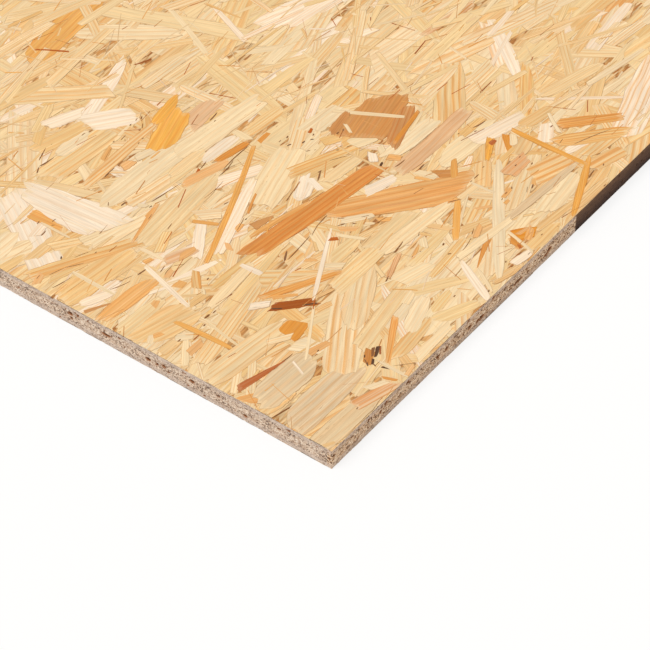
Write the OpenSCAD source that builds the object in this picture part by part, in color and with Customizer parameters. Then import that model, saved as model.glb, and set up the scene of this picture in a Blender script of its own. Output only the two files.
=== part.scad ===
// One sheet of oriented strand board, lying flat.
// X runs along the sheet's long side, Y across it and Z up.
// The origin is the middle of the underside.

/* [Sheet] */
// Length of the sheet, the way that most of the face strands run
sheet_length = 2440; // [600:1:2800]
// Width of the sheet
sheet_width = 1220; // [300:1:1250]
// Thickness of the pressed board
sheet_thickness = 18; // [6:0.5:40]

/* [Sawn edges] */
// How far the arris between a face and a sawn edge is broken
face_arris = 0.4; // [0.1:0.1:1.5]
// How far the upright arris at each corner of the sheet is broken
corner_arris = 0.8; // [0.1:0.1:5]

/* [Hidden] */
osb_straw = [0.89, 0.75, 0.52];

// Rectangle about the origin with a 45 degree cut of the given size at each corner.
module cut_cornered_rectangle(size, cut) {
  half = size / 2;
  polygon([
    for (corner = [[1, 1], [-1, 1], [-1, -1], [1, -1]])
      for (step = corner.x * corner.y > 0 ? [0, 1] : [1, 0])
        [corner.x * (half.x - cut * step), corner.y * (half.y - cut * (1 - step))]
  ]);
}

// Plan of the sheet, run up through its thickness.
module plan_prism() {
  linear_extrude(sheet_thickness)
    cut_cornered_rectangle([sheet_length, sheet_width], corner_arris);
}

// Section across the sheet, run along its length.
module cross_section_prism() {
  translate([0, 0, sheet_thickness / 2])
    rotate([90, 0, 90])
      linear_extrude(sheet_length, center = true)
        cut_cornered_rectangle([sheet_width, sheet_thickness], face_arris);
}

// Section along the sheet, run across its width.
module long_section_prism() {
  translate([0, 0, sheet_thickness / 2])
    rotate([90, 0, 0])
      linear_extrude(sheet_width, center = true)
        cut_cornered_rectangle([sheet_length, sheet_thickness], face_arris);
}

// The sheet is what the three prisms share, so every edge of it has its arris.
module osb_panel() {
  color(osb_straw)
    intersection() {
      plan_prism();
      cross_section_prism();
      long_section_prism();
    }
}

osb_panel();
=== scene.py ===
# %% [markdown]
# A sheet of oriented strand board is wood that was sliced into thin strands, glued, laid mostly one way
# and pressed flat. What the eye reads is the top layer of strands and the raw sawn edge. This lesson
# builds both on a sheet whose size is already fixed by its CAD solid.

# %% The frame
import math

import bmesh
import bpy
import numpy as np
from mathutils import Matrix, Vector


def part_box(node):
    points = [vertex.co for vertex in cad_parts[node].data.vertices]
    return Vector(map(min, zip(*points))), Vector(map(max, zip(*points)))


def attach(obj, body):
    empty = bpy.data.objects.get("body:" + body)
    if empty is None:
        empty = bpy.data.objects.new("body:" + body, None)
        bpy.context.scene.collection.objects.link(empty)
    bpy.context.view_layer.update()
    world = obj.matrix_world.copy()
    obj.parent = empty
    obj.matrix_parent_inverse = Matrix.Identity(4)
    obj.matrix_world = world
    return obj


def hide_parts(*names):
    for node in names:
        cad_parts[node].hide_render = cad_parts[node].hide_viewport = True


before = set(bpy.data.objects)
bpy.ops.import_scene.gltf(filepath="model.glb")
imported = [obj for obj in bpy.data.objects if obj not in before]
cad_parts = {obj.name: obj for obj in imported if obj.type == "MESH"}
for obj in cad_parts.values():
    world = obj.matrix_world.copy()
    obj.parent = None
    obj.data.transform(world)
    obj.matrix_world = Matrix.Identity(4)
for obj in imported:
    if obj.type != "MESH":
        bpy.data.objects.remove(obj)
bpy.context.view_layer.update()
sheet_low, sheet_high = (np.array(corner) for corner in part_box("osb_panel"))
sheet_length, sheet_width, sheet_thickness = sheet_high - sheet_low
near_corner = np.array([sheet_low[0], sheet_low[1], 0.0])
MM = 0.001
print(f"sheet {sheet_length / MM:.0f} x {sheet_width / MM:.0f} x {sheet_thickness / MM:.1f} mm")

# %% [markdown]
# Node trees for shapes and for finishes are built the same way: add a node, set its options, feed its
# inputs. One small function does that for both kinds, so each tree below reads as a list of steps. Two
# more turn a hex colour into the linear one that shaders take and start a material with an empty tree.

# %% Nodes, colours and bare materials
def add(tree, kind, feeds=None, **settings):
    """Add a node. Each feed is a plain value, a socket, or a node whose first output is used."""
    node = tree.nodes.new(kind)
    for setting, value in settings.items():
        setattr(node, setting, value)
    for key, value in (feeds or {}).items():
        if isinstance(value, bpy.types.Node):
            value = value.outputs[0]
        if isinstance(value, bpy.types.NodeSocket):
            tree.links.new(value, node.inputs[key])
        else:
            node.inputs[key].default_value = value
    return node


def linear(hex_colour):
    """Turn an sRGB hex value into the linear colour that a shader takes."""
    channels = [int(hex_colour[k:k + 2], 16) / 255 for k in (1, 3, 5)]
    return [c / 12.92 if c <= 0.04045 else ((c + 0.055) / 1.055) ** 2.4 for c in channels] + [1.0]


def bare_material(name):
    """A new material with an empty node tree."""
    material = bpy.data.materials.new(name)
    material.use_nodes = True
    material.node_tree.nodes.clear()
    return material


# %% [markdown]
# The camera comes first, so that each piece can be judged in its frame as soon as it is made. Its angle,
# distance and focal length reproduce how the two sawn edges and the corner run in the picture.

# %% Camera
CAMERA_AZIMUTH = math.radians(-52.9)
CAMERA_ELEVATION = math.radians(43.76)
CAMERA_DISTANCE = 1656.9 * MM
FOCAL_IN_IMAGE_WIDTHS = 2400 / 650
SENSOR_WIDTH_MM = 36.0
CLIP_END = 100.0
AIM_FROM_CORNER = (92.3 * MM, 75.4 * MM)
aim = near_corner + np.array([*AIM_FROM_CORNER, sheet_thickness])

towards_camera = np.array([
    math.sin(CAMERA_AZIMUTH) * math.cos(CAMERA_ELEVATION),
    -math.cos(CAMERA_AZIMUTH) * math.cos(CAMERA_ELEVATION),
    math.sin(CAMERA_ELEVATION),
])
camera = bpy.data.objects.new("camera", bpy.data.cameras.new("camera"))
camera.data.sensor_width = SENSOR_WIDTH_MM
camera.data.lens = SENSOR_WIDTH_MM * FOCAL_IN_IMAGE_WIDTHS
camera.data.clip_end = CLIP_END
camera.location = aim + CAMERA_DISTANCE * towards_camera
camera.rotation_euler = (math.pi / 2 - CAMERA_ELEVATION, 0.0, CAMERA_AZIMUTH)
bpy.context.collection.objects.link(camera)
bpy.context.scene.camera = camera
print(f"camera {camera.data.lens:.1f} mm lens at {[round(v, 3) for v in camera.location]}")

# %% [markdown]
# Strand finish. Pine and spruce strands are pale straw with darker latewood lines along the grain. Each
# strand was sliced from another spot of another log, so each has its own tone, line spacing and slant.
# A picture texture would repeat. Here every strand carries its own millimetre grid as an attribute, and
# the lines are worked out from that grid, so the grain turns with the strand.

# %% Tones of the strands
TONES = {
    "ivory": "#FDEDD5",
    "cream": "#F7E2BA",
    "straw": "#F3D8A6",
    "beige": "#E2CBA6",
    "tan": "#EFCB91",
    "pinkish": "#E8C096",
    "apricot": "#F0BC7C",
    "honey": "#EDB56E",
    "orange": "#F2B75F",
    "amber": "#E4A052",
    "brown": "#D3985A",
    "russet": "#BE651F",
    "bark": "#A85C22",
    # The last two tones are painted shade: the dark of narrow gaps between strands and of small holes.
    "crack": "#8A5C34",
    "pit": "#54341B",
}
TONE_NAMES = list(TONES)


def tone_value(name):
    """Place of a tone on the ramp: the middle of its step."""
    return (TONE_NAMES.index(name) + 0.5) / len(TONE_NAMES)


print(f"{len(TONES)} tones, from {TONE_NAMES[0]} to {TONE_NAMES[-1]}")

# %% [markdown]
# A log shows each year as a soft pale band that ends in a thin darker line. Counting bands across the
# strand's own grid gives those lines. A slow noise bends them, and a broad strand has wider bands, because
# it was cut more nearly along the rings.

# %% Growth rings
def growth_rings(tree, grain, size, line_strength, chance_a, chance_b):
    """How much latewood shows at a spot, and the pattern of richer streaks."""
    along, across, seed = add(tree, "ShaderNodeSeparateXYZ", {0: grain}).outputs
    # The lines wander by a few millimetres over a strand and run a little askew to its sides.
    wander_at = add(tree, "ShaderNodeVectorMath", {0: grain, 1: (1 / 70, 1 / 60, 113.0)},
                    operation="MULTIPLY")
    wander = add(tree, "ShaderNodeTexNoise", {"Vector": wander_at, "Scale": 1.0, "Detail": 1.5})
    wander_mm = add(tree, "ShaderNodeMapRange", {0: wander, 1: 0.0, 2: 1.0, 3: -3.5, 4: 3.5})
    slant = add(tree, "ShaderNodeMapRange", {0: chance_a, 3: -0.06, 4: 0.06})
    askew = add(tree, "ShaderNodeMath", {0: along, 1: slant, 2: across}, operation="MULTIPLY_ADD")
    ring_mm = add(tree, "ShaderNodeMath", {0: askew, 1: wander_mm}, operation="ADD")
    _, width, _ = add(tree, "ShaderNodeSeparateXYZ", {0: size}).outputs
    ring_share = add(tree, "ShaderNodeMapRange", {0: chance_b, 3: 0.17 / MM, 4: 0.34 / MM})
    ring_spacing_mm = add(tree, "ShaderNodeMath", {0: width, 1: ring_share}, operation="MULTIPLY")
    ring_spacing_mm = add(tree, "ShaderNodeClamp", {0: ring_spacing_mm, 1: 1.4, 2: 5.5})
    ring_count = add(tree, "ShaderNodeMath", {0: ring_mm, 1: ring_spacing_mm}, operation="DIVIDE")
    ring_from = add(tree, "ShaderNodeMath", {0: seed, 1: 50.0, 2: ring_count}, operation="MULTIPLY_ADD")
    uneven_at = add(tree, "ShaderNodeCombineXYZ", {0: ring_from, 1: 0.0, 2: seed})
    uneven = add(tree, "ShaderNodeTexNoise", {"Vector": uneven_at, "Scale": 0.8, "Detail": 1.0})
    ring_uneven = add(tree, "ShaderNodeMath", {0: uneven, 1: 1.6, 2: ring_from}, operation="MULTIPLY_ADD")
    ring_phase = add(tree, "ShaderNodeMath", {0: ring_uneven}, operation="FRACT")
    # Latewood thickens slowly over the season and stops sharply.
    latewood = add(tree, "ShaderNodeValToRGB", {0: ring_phase})
    steps = latewood.color_ramp.elements
    steps[0].position, steps[0].color = 0.35, (0, 0, 0, 1)
    steps[1].position, steps[1].color = 0.86, (1, 1, 1, 1)
    steps.new(1.0).color = (0, 0, 0, 1)
    # Between the lines lie softer streaks of richer wood.
    streak_at = add(tree, "ShaderNodeVectorMath", {0: grain, 1: (1 / 90, 1 / 2.2, 53.0)},
                    operation="MULTIPLY")
    streak = add(tree, "ShaderNodeTexNoise", {"Vector": streak_at, "Scale": 1.0, "Detail": 2.0})
    streak_share = add(tree, "ShaderNodeMapRange", {0: streak, 1: 0.45, 2: 0.75, 3: 0.0, 4: 0.6})
    rich = add(tree, "ShaderNodeMath", {0: latewood, 1: streak_share}, operation="MAXIMUM")
    line_strength = add(tree, "ShaderNodeMapRange", {0: line_strength, 3: 0.25, 4: 1.2})
    late_share = add(tree, "ShaderNodeMath", {0: rich, 1: line_strength}, operation="MULTIPLY")
    return late_share, streak


# %% [markdown]
# Between the lines the eye sees fibre: fine streaks along the grain, soft patches where the wood is a
# little darker, and short dark flecks. Each is one noise, stretched along the strand to its real size.

# %% Fibre, patches and flecks
def fibre_and_flecks(tree, grain):
    """Fibre and patch patterns, the lightness that they give, and the light left in the flecks."""
    # Fibre about 1.2 mm wide and 35 mm long, and soft patches a few centimetres long.
    fibre_at = add(tree, "ShaderNodeVectorMath", {0: grain, 1: (1 / 35, 1 / 1.2, 17.0)}, operation="MULTIPLY")
    fibre = add(tree, "ShaderNodeTexNoise",
                {"Vector": fibre_at, "Scale": 1.0, "Detail": 3.0, "Roughness": 0.65})
    patch_at = add(tree, "ShaderNodeVectorMath", {0: grain, 1: (1 / 45, 1 / 8, 7.0)}, operation="MULTIPLY")
    patch = add(tree, "ShaderNodeTexNoise", {"Vector": patch_at, "Scale": 1.0, "Detail": 2.0})
    fibre_value = add(tree, "ShaderNodeMapRange", {0: fibre, 1: 0.25, 2: 0.75, 3: 0.83, 4: 1.14})
    patch_value = add(tree, "ShaderNodeMapRange", {0: patch, 1: 0.3, 2: 0.7, 3: 0.92, 4: 1.05})

    # Short dark flecks along the grain, where the knife tore the fibre.
    fleck_at = add(tree, "ShaderNodeVectorMath", {0: grain, 1: (1 / 6, 1 / 0.8, 31.0)}, operation="MULTIPLY")
    fleck = add(tree, "ShaderNodeTexNoise", {"Vector": fleck_at, "Scale": 1.0, "Detail": 1.0})
    fleck_depth = add(tree, "ShaderNodeMapRange", {0: patch, 1: 0.5, 2: 0.66, 3: 1.0, 4: 0.45})
    fleck_value = add(tree, "ShaderNodeMapRange", {0: fleck, 1: 0.67, 2: 0.77, 3: 1.0, 4: fleck_depth})
    value = add(tree, "ShaderNodeMath", {0: fibre_value, 1: patch_value}, operation="MULTIPLY")
    return fibre, patch, value, fleck_value


# %% [markdown]
# The tone that a strand carries picks its colour from a stepped ramp. Chance then shifts it a little, so
# that no two strands of one tone are alike. Latewood is the same colour, only deeper and redder.

# %% Colour by tone
def tone_colours(tree, tone, chance_a, chance_c):
    """Colours of the early and the late wood of a strand."""
    # Base colour by tone, a little different on every strand.
    ramp = add(tree, "ShaderNodeValToRGB", {0: tone})
    ramp.color_ramp.interpolation = "CONSTANT"
    while len(ramp.color_ramp.elements) < len(TONES):
        ramp.color_ramp.elements.new(1.0)
    for index, colour in enumerate(TONES.values()):
        ramp.color_ramp.elements[index].position = index / len(TONES)
        ramp.color_ramp.elements[index].color = linear(colour)
    saturation = add(tree, "ShaderNodeMapRange", {0: chance_c, 3: 0.94, 4: 1.08})
    brightness = add(tree, "ShaderNodeMapRange", {0: chance_a, 3: 0.94, 4: 1.04})
    early = add(tree, "ShaderNodeHueSaturation",
                {"Color": ramp, "Saturation": saturation, "Value": brightness})
    late = add(tree, "ShaderNodeMix", {0: 1.0, 6: early, 7: (0.9, 0.6, 0.34, 1)},
               data_type="RGBA", blend_type="MULTIPLY").outputs[2]
    return early, late


# %% [markdown]
# A strand was torn as much as it was cut. Its ends fray into single fibres, and a thin line of shade is
# painted along its rim. Both follow from how far a spot is from the nearest end or side, which the strand's
# grid and size tell.

# %% Frayed ends and painted rim shade
def frayed_ends_and_rim_shade(tree, grain, place, size, tone, streak, patch):
    """How far a spot is paled by fraying, and the light left by the shade painted at the rim."""
    length, _, _ = add(tree, "ShaderNodeSeparateXYZ", {0: size}).outputs
    # How far a spot is from the nearest end and from the nearest side of its strand.
    from_rim = add(tree, "ShaderNodeVectorMath", {0: place}, operation="ABSOLUTE")
    from_rim = add(tree, "ShaderNodeVectorMath", {0: (0.5, 0.5, 0.0), 1: from_rim}, operation="SUBTRACT")
    from_rim = add(tree, "ShaderNodeVectorMath", {0: from_rim, 1: size}, operation="MULTIPLY")
    end_gap, side_gap, _ = add(tree, "ShaderNodeSeparateXYZ", {0: from_rim}).outputs
    rim_gap = add(tree, "ShaderNodeMath", {0: end_gap, 1: side_gap}, operation="MINIMUM")

    # Ends are frayed: single fibres stop early and show the paler wood below. Streaks fade the same way.
    fray_at = add(tree, "ShaderNodeVectorMath", {0: grain, 1: (1 / 60, 1 / 1.5, 71.0)}, operation="MULTIPLY")
    fray = add(tree, "ShaderNodeTexNoise", {"Vector": fray_at, "Scale": 1.0, "Detail": 2.0})
    fray_reach = add(tree, "ShaderNodeMapRange", {0: length, 1: 20 * MM, 2: 60 * MM, 3: 0.0, 4: 6 * MM})
    fray_length = add(tree, "ShaderNodeMapRange", {0: fray, 1: 0.4, 2: 0.66, 3: 0.0, 4: fray_reach})
    fray_full = add(tree, "ShaderNodeMath", {0: fray_length, 1: 1.3, 2: 0.3 * MM}, operation="MULTIPLY_ADD")
    frayed = add(tree, "ShaderNodeMapRange", {0: end_gap, 1: fray_length, 2: fray_full, 3: 0.55, 4: 0.0})
    faded = add(tree, "ShaderNodeMapRange", {0: streak, 1: 0.5, 2: 0.28, 3: 0.0, 4: 0.3})
    paler = add(tree, "ShaderNodeMath", {0: frayed, 1: faded}, operation="MAXIMUM")
    # Rich and dark strands keep more of their colour.
    kept_pale = add(tree, "ShaderNodeMapRange", {0: tone, 1: 0.35, 2: 0.6, 3: 1.0, 4: 0.3})
    paler = add(tree, "ShaderNodeMath", {0: paler, 1: kept_pale}, operation="MULTIPLY")

    # A thin line of shade is painted along the rim of a strand, deeper in some places than in others.
    rim_shade_depth = add(tree, "ShaderNodeMapRange", {0: patch, 1: 0.42, 2: 0.66, 3: 1.0, 4: 0.35})
    rim_shade_light_left = add(tree, "ShaderNodeMapRange", {0: rim_gap, 1: 0.0, 2: 0.7 * MM, 3: rim_shade_depth, 4: 1.0})
    return paler, rim_shade_light_left


# %% [markdown]
# The finish puts these layers over each other: early and late wood, then fraying, fibre, painted rim shade
# and flecks. Sliced softwood is matt, so it is rough and reflects little.

# %% Softwood strand, sliced and pressed
def softwood_strand():
    """Sliced softwood: matt, pale, with darker latewood lines and fine fibre along the grain."""
    material = bare_material("softwood_strand")
    tree = material.node_tree
    grain, place, size = (
        add(tree, "ShaderNodeAttribute", attribute_name=name).outputs["Vector"]
        for name in ("grain", "share", "size")
    )
    tone, line_strength = (
        add(tree, "ShaderNodeAttribute", attribute_name=name).outputs["Fac"] for name in ("tone", "lines")
    )

    # Three random numbers for each strand.
    _, _, seed = add(tree, "ShaderNodeSeparateXYZ", {0: grain}).outputs
    draw = add(tree, "ShaderNodeMath", {0: seed, 1: 977.0}, operation="MULTIPLY")
    chance = add(tree, "ShaderNodeTexWhiteNoise", {"W": draw}, noise_dimensions="1D")
    chance_a, chance_b, chance_c = add(tree, "ShaderNodeSeparateColor", {0: chance.outputs["Color"]}).outputs

    late_share, streak = growth_rings(tree, grain, size, line_strength, chance_a, chance_b)
    fibre, patch, value, fleck_value = fibre_and_flecks(tree, grain)
    early, late = tone_colours(tree, tone, chance_a, chance_c)
    paler, rim_shade_light_left = frayed_ends_and_rim_shade(tree, grain, place, size, tone, streak, patch)
    wood = add(tree, "ShaderNodeMix", {0: late_share, 6: early, 7: late}, data_type="RGBA").outputs[2]
    wood = add(tree, "ShaderNodeMix", {0: paler, 6: wood, 7: linear("#F5DAAE")}, data_type="RGBA").outputs[2]
    shaded = add(tree, "ShaderNodeHueSaturation", {"Color": wood, "Value": value})
    # Painted shade at the rims and the real dark flecks both pull the colour towards one dark brown.
    light_left_by_rim_shade_and_flecks = add(tree, "ShaderNodeMath", {0: rim_shade_light_left, 1: fleck_value}, operation="MULTIPLY")
    shaded = add(tree, "ShaderNodeMix", {0: light_left_by_rim_shade_and_flecks, 6: linear("#7A4C22"), 7: shaded},
                 data_type="RGBA").outputs[2]

    # Latewood is denser and stands a little proud of the soft earlywood.
    relief = add(tree, "ShaderNodeMath", {0: late_share, 1: 0.6, 2: fibre}, operation="MULTIPLY_ADD")
    bump = add(tree, "ShaderNodeBump", {"Strength": 0.35, "Distance": 0.15 * MM, "Height": relief})
    surface = add(tree, "ShaderNodeBsdfPrincipled", {
        "Base Color": shaded, "Roughness": 0.62, "Specular IOR Level": 0.3, "Normal": bump,
    })
    add(tree, "ShaderNodeOutputMaterial", {0: surface})
    return material


strand_finish = softwood_strand()
print(f"{strand_finish.name}: {len(strand_finish.node_tree.nodes)} nodes")

# %% [markdown]
# Each strand is a thin lid: a small grid whose outermost ring is folded down, so it has a sloped rim and
# no hidden floor. Modelling thousands by hand is out of the question, and copies of one shape would look
# stamped. So Geometry Nodes puts a flat grid on every point, realizes it, and then moves the grid's
# corners by what the point says: length, width, direction, taper, bow and a seed for the ragged outline.
# What reaches past the sheet's border is drawn back to it, as the saw left it.

# %% Lids
STRAND_RELIEF = 0.6 * MM
STRAND_BEVEL = 0.25 * MM
core_top = sheet_thickness - STRAND_RELIEF
# Points along and across a lid: more of them on the strands that are seen from near.
LIDS = {"bed": (4, 4), "plain": (6, 4), "near": (12, 5), "fine": (17, 9)}
LID_NAMES = list(LIDS)
# Shares of a lid's unit grid: what counts as beyond its flat top, and what as the same spot.
BEYOND_TOP, SAME_SPOT = 0.01, 0.001


def lid_grids(tree):
    """A flat grid for each kind of lid. Each corner keeps its shares along and across, and its fold."""
    lids = add(tree, "GeometryNodeJoinGeometry")
    for columns, rows in reversed(LIDS.values()):
        grid = add(tree, "GeometryNodeMeshGrid", {0: 1.0, 1: 1.0, 2: columns, 3: rows})
        reach = ((columns - 1) / (columns - 3), (rows - 1) / (rows - 3), 0.0)
        spread = add(tree, "ShaderNodeVectorMath", {0: add(tree, "GeometryNodeInputPosition"), 1: reach},
                     operation="MULTIPLY")
        capped = add(tree, "ShaderNodeVectorMath", {0: spread, 1: (0.5, 0.5, 0.0)}, operation="MINIMUM")
        capped = add(tree, "ShaderNodeVectorMath", {0: capped, 1: (-0.5, -0.5, 0.0)}, operation="MAXIMUM")
        beyond = add(tree, "ShaderNodeVectorMath", {0: spread, 1: capped},
                     operation="DISTANCE").outputs["Value"]
        folded = add(tree, "ShaderNodeMath", {0: beyond, 1: BEYOND_TOP}, operation="GREATER_THAN")
        share = add(tree, "ShaderNodeCombineXYZ", {2: folded})
        share = add(tree, "ShaderNodeVectorMath", {0: capped, 1: share}, operation="ADD")
        marked = add(tree, "GeometryNodeStoreNamedAttribute",
                     {"Geometry": grid, "Name": "share", "Value": share},
                     data_type="FLOAT_VECTOR", domain="POINT")
        # At each corner three points of the folded ring fall on one spot, so they are welded.
        drawn = add(tree, "GeometryNodeSetPosition", {"Geometry": marked, "Position": share})
        welded = add(tree, "GeometryNodeMergeByDistance", {"Geometry": drawn, "Distance": SAME_SPOT})
        lid = add(tree, "GeometryNodeGeometryToInstance", {0: welded})
        tree.links.new(lid.outputs[0], lids.inputs[0])
    return lids


print(f"{len(LIDS)} kinds of lid: {', '.join(LID_NAMES)}")

# %% [markdown]
# No strand is a clean rectangle. It narrows to one end, and its tips are rounded or pointed. Both move the
# corners of the lid towards its middle line, by a share that grows towards an end.

# %% Taper and point
def tapered_outline(tree, given, share, size, taper):
    """Where a corner of a lid lies along and across its strand, before the outline is torn."""
    share_along, _, folded = add(tree, "ShaderNodeSeparateXYZ", {0: share}).outputs

    # The flat top is smaller than the foot by the bevel.
    on_top = add(tree, "ShaderNodeMath", {0: 1.0, 1: folded}, operation="SUBTRACT")
    inset = add(tree, "ShaderNodeMath", {0: on_top, 1: given["Bevel"]}, operation="MULTIPLY")
    inset = add(tree, "ShaderNodeMath", {0: inset, 1: -2.0}, operation="MULTIPLY")
    extent = add(tree, "ShaderNodeVectorMath", {0: size, 1: inset}, operation="ADD")
    local = add(tree, "ShaderNodeVectorMath", {0: share, 1: extent}, operation="MULTIPLY")
    local_along, local_across, _ = add(tree, "ShaderNodeSeparateXYZ", {0: local}).outputs

    # The taper runs from one end to the other, and the point shows only close to the tips.
    from_end = add(tree, "ShaderNodeMath", {0: share_along, 1: 0.5}, operation="ADD")
    narrowed = add(tree, "ShaderNodeMath", {0: from_end, 1: taper}, operation="MULTIPLY")
    narrowed = add(tree, "ShaderNodeMath", {0: 1.0, 1: narrowed}, operation="SUBTRACT")
    local_across = add(tree, "ShaderNodeMath", {0: local_across, 1: narrowed}, operation="MULTIPLY")
    near_tip = add(tree, "ShaderNodeMath", {0: share_along}, operation="ABSOLUTE")
    near_tip = add(tree, "ShaderNodeMath", {0: near_tip, 1: 2.0}, operation="MULTIPLY")
    near_tip = add(tree, "ShaderNodeMath", {0: near_tip, 1: 4.0}, operation="POWER")
    point = add(tree, "GeometryNodeInputNamedAttribute", {"Name": "point"}, data_type="FLOAT").outputs[0]
    sharpened = add(tree, "ShaderNodeMath", {0: near_tip, 1: point}, operation="MULTIPLY")
    sharpened = add(tree, "ShaderNodeMath", {0: 1.0, 1: sharpened}, operation="SUBTRACT")
    local_across = add(tree, "ShaderNodeMath", {0: local_across, 1: sharpened}, operation="MULTIPLY")
    return local_along, local_across


# %% [markdown]
# The sides and ends of a strand are torn. A noise that starts from the strand's own seed makes each side and
# each end reach further in one place and less far in the next, so that no two outlines are alike.

# %% Torn sides and ends
def torn_reach(tree, given, share, stoutness, seed):
    """How far the sides and the ends reach, as a share of what they would without tearing."""
    share_along, share_across, _ = add(tree, "ShaderNodeSeparateXYZ", {0: share}).outputs
    torn_seed = add(tree, "ShaderNodeMath", {0: seed, 1: 400.0}, operation="MULTIPLY")
    which_side = add(tree, "ShaderNodeMath", {0: share_across}, operation="SIGN")
    which_end = add(tree, "ShaderNodeMath", {0: share_along}, operation="SIGN")
    # About seven tears along a side. The signs keep the two sides, and the two ends, apart in the noise.
    side_at = add(tree, "ShaderNodeCombineXYZ", {0: share_along, 1: which_side, 2: torn_seed})
    side_at = add(tree, "ShaderNodeVectorMath", {0: side_at, 1: (7.0, 3.0, 1.0)}, operation="MULTIPLY")
    side_torn = add(tree, "ShaderNodeTexNoise",
                    {"Vector": side_at, "Scale": 1.0, "Detail": 3.0, "Roughness": 0.7})
    side_torn = add(tree, "ShaderNodeMath", {0: side_torn, 1: 0.5}, operation="SUBTRACT")
    side_reach = add(tree, "ShaderNodeMath", {0: side_torn, 1: given["Ragged side"], 2: 1.0},
                     operation="MULTIPLY_ADD")
    # Four or five tears across an end, deeper on a stout strand, but never near its middle.
    end_at = add(tree, "ShaderNodeCombineXYZ", {0: which_end, 1: share_across, 2: torn_seed})
    end_at = add(tree, "ShaderNodeVectorMath", {0: end_at, 1: (3.0, 4.5, 1.3)}, operation="MULTIPLY")
    end_torn = add(tree, "ShaderNodeTexNoise",
                   {"Vector": end_at, "Scale": 1.0, "Detail": 3.0, "Roughness": 0.7})
    end_torn = add(tree, "ShaderNodeMath", {0: end_torn, 1: 0.5}, operation="SUBTRACT")
    end_most = add(tree, "ShaderNodeMath", {0: stoutness, 1: given["Ragged end"]}, operation="MULTIPLY")
    end_most = add(tree, "ShaderNodeMath", {0: end_most, 1: 0.7}, operation="MINIMUM")
    end_reach = add(tree, "ShaderNodeMath", {0: end_torn, 1: end_most, 2: 1.0}, operation="MULTIPLY_ADD")
    return side_reach, end_reach


# %% [markdown]
# Each end is cut askew by its own amount, which the seed gives. On a stout strand the slant has to stay
# small, or one end would fold over the other.

# %% Slanted ends
def end_slant(tree, given, share, stoutness, seed):
    """How far a corner moves along the strand for each step across it."""
    share_along, _, _ = add(tree, "ShaderNodeSeparateXYZ", {0: share}).outputs
    slant_most = add(tree, "ShaderNodeMath", {0: 1.0, 1: stoutness}, operation="DIVIDE")
    slant_most = add(tree, "ShaderNodeMath", {0: slant_most, 1: given["Slanted end"]}, operation="MINIMUM")
    slants = []
    for stretch in (91.7, 47.3):
        slant = add(tree, "ShaderNodeMath", {0: seed, 1: stretch}, operation="MULTIPLY")
        slant = add(tree, "ShaderNodeMath", {0: slant}, operation="FRACT")
        slants.append(add(tree, "ShaderNodeMath", {0: slant, 1: 0.5}, operation="SUBTRACT"))
    from_end = add(tree, "ShaderNodeMath", {0: share_along, 1: 0.5}, operation="ADD")
    slant = add(tree, "ShaderNodeMix", {0: from_end, 2: slants[0], 3: slants[1]}, data_type="FLOAT")
    return add(tree, "ShaderNodeMath", {0: slant, 1: slant_most}, operation="MULTIPLY")


# %% [markdown]
# Put together, these give the outline of a strand. A slight bow comes last, as a parabola across it.

# %% Outline of a strand
def strand_outline(tree, given, share, size, form):
    """Where a corner of a lid lies along and across its strand."""
    share_along, _, _ = add(tree, "ShaderNodeSeparateXYZ", {0: share}).outputs
    taper, bow, seed = add(tree, "ShaderNodeSeparateXYZ", {0: form}).outputs
    length, width, _ = add(tree, "ShaderNodeSeparateXYZ", {0: size}).outputs
    stoutness = add(tree, "ShaderNodeMath", {0: width, 1: length}, operation="DIVIDE")
    local_along, local_across = tapered_outline(tree, given, share, size, taper)
    side_reach, end_reach = torn_reach(tree, given, share, stoutness, seed)
    local_across = add(tree, "ShaderNodeMath", {0: local_across, 1: side_reach}, operation="MULTIPLY")
    local_along = add(tree, "ShaderNodeMath", {0: local_along, 1: end_reach}, operation="MULTIPLY")
    slant = end_slant(tree, given, share, stoutness, seed)
    local_along = add(tree, "ShaderNodeMath", {0: local_across, 1: slant, 2: local_along},
                      operation="MULTIPLY_ADD")
    bent = add(tree, "ShaderNodeMath", {0: share_along, 1: share_along}, operation="MULTIPLY")
    bent = add(tree, "ShaderNodeMath", {0: bent, 1: bow}, operation="MULTIPLY")
    local_across = add(tree, "ShaderNodeMath", {0: local_across, 1: bent}, operation="ADD")
    return local_along, local_across


# %% [markdown]
# From its strand a corner goes to the sheet: along the strand's run, across it, and no further than the
# border, where the saw cut. The finish needs the way back, so each corner also gets its place on the
# strand's own grid, in millimetres along and across the grain.

# %% From strand to sheet and back
def spot_on_sheet(tree, given, centre, run, sideways, local_along, local_across):
    """Where a corner of a strand lies on the sheet, sawn off at its border."""
    shift_along = add(tree, "ShaderNodeVectorMath", {0: run, "Scale": local_along}, operation="SCALE")
    shift_across = add(tree, "ShaderNodeVectorMath", {0: sideways, "Scale": local_across}, operation="SCALE")
    spot = add(tree, "ShaderNodeVectorMath", {0: centre, 1: shift_along}, operation="ADD")
    spot = add(tree, "ShaderNodeVectorMath", {0: spot, 1: shift_across}, operation="ADD")
    border = add(tree, "ShaderNodeCombineXYZ", {0: given["Half length"], 1: given["Half width"], 2: 1.0})
    far_border = add(tree, "ShaderNodeVectorMath", {0: border, "Scale": -1.0}, operation="SCALE")
    spot = add(tree, "ShaderNodeVectorMath", {0: spot, 1: border}, operation="MINIMUM")
    return add(tree, "ShaderNodeVectorMath", {0: spot, 1: far_border}, operation="MAXIMUM")


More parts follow.
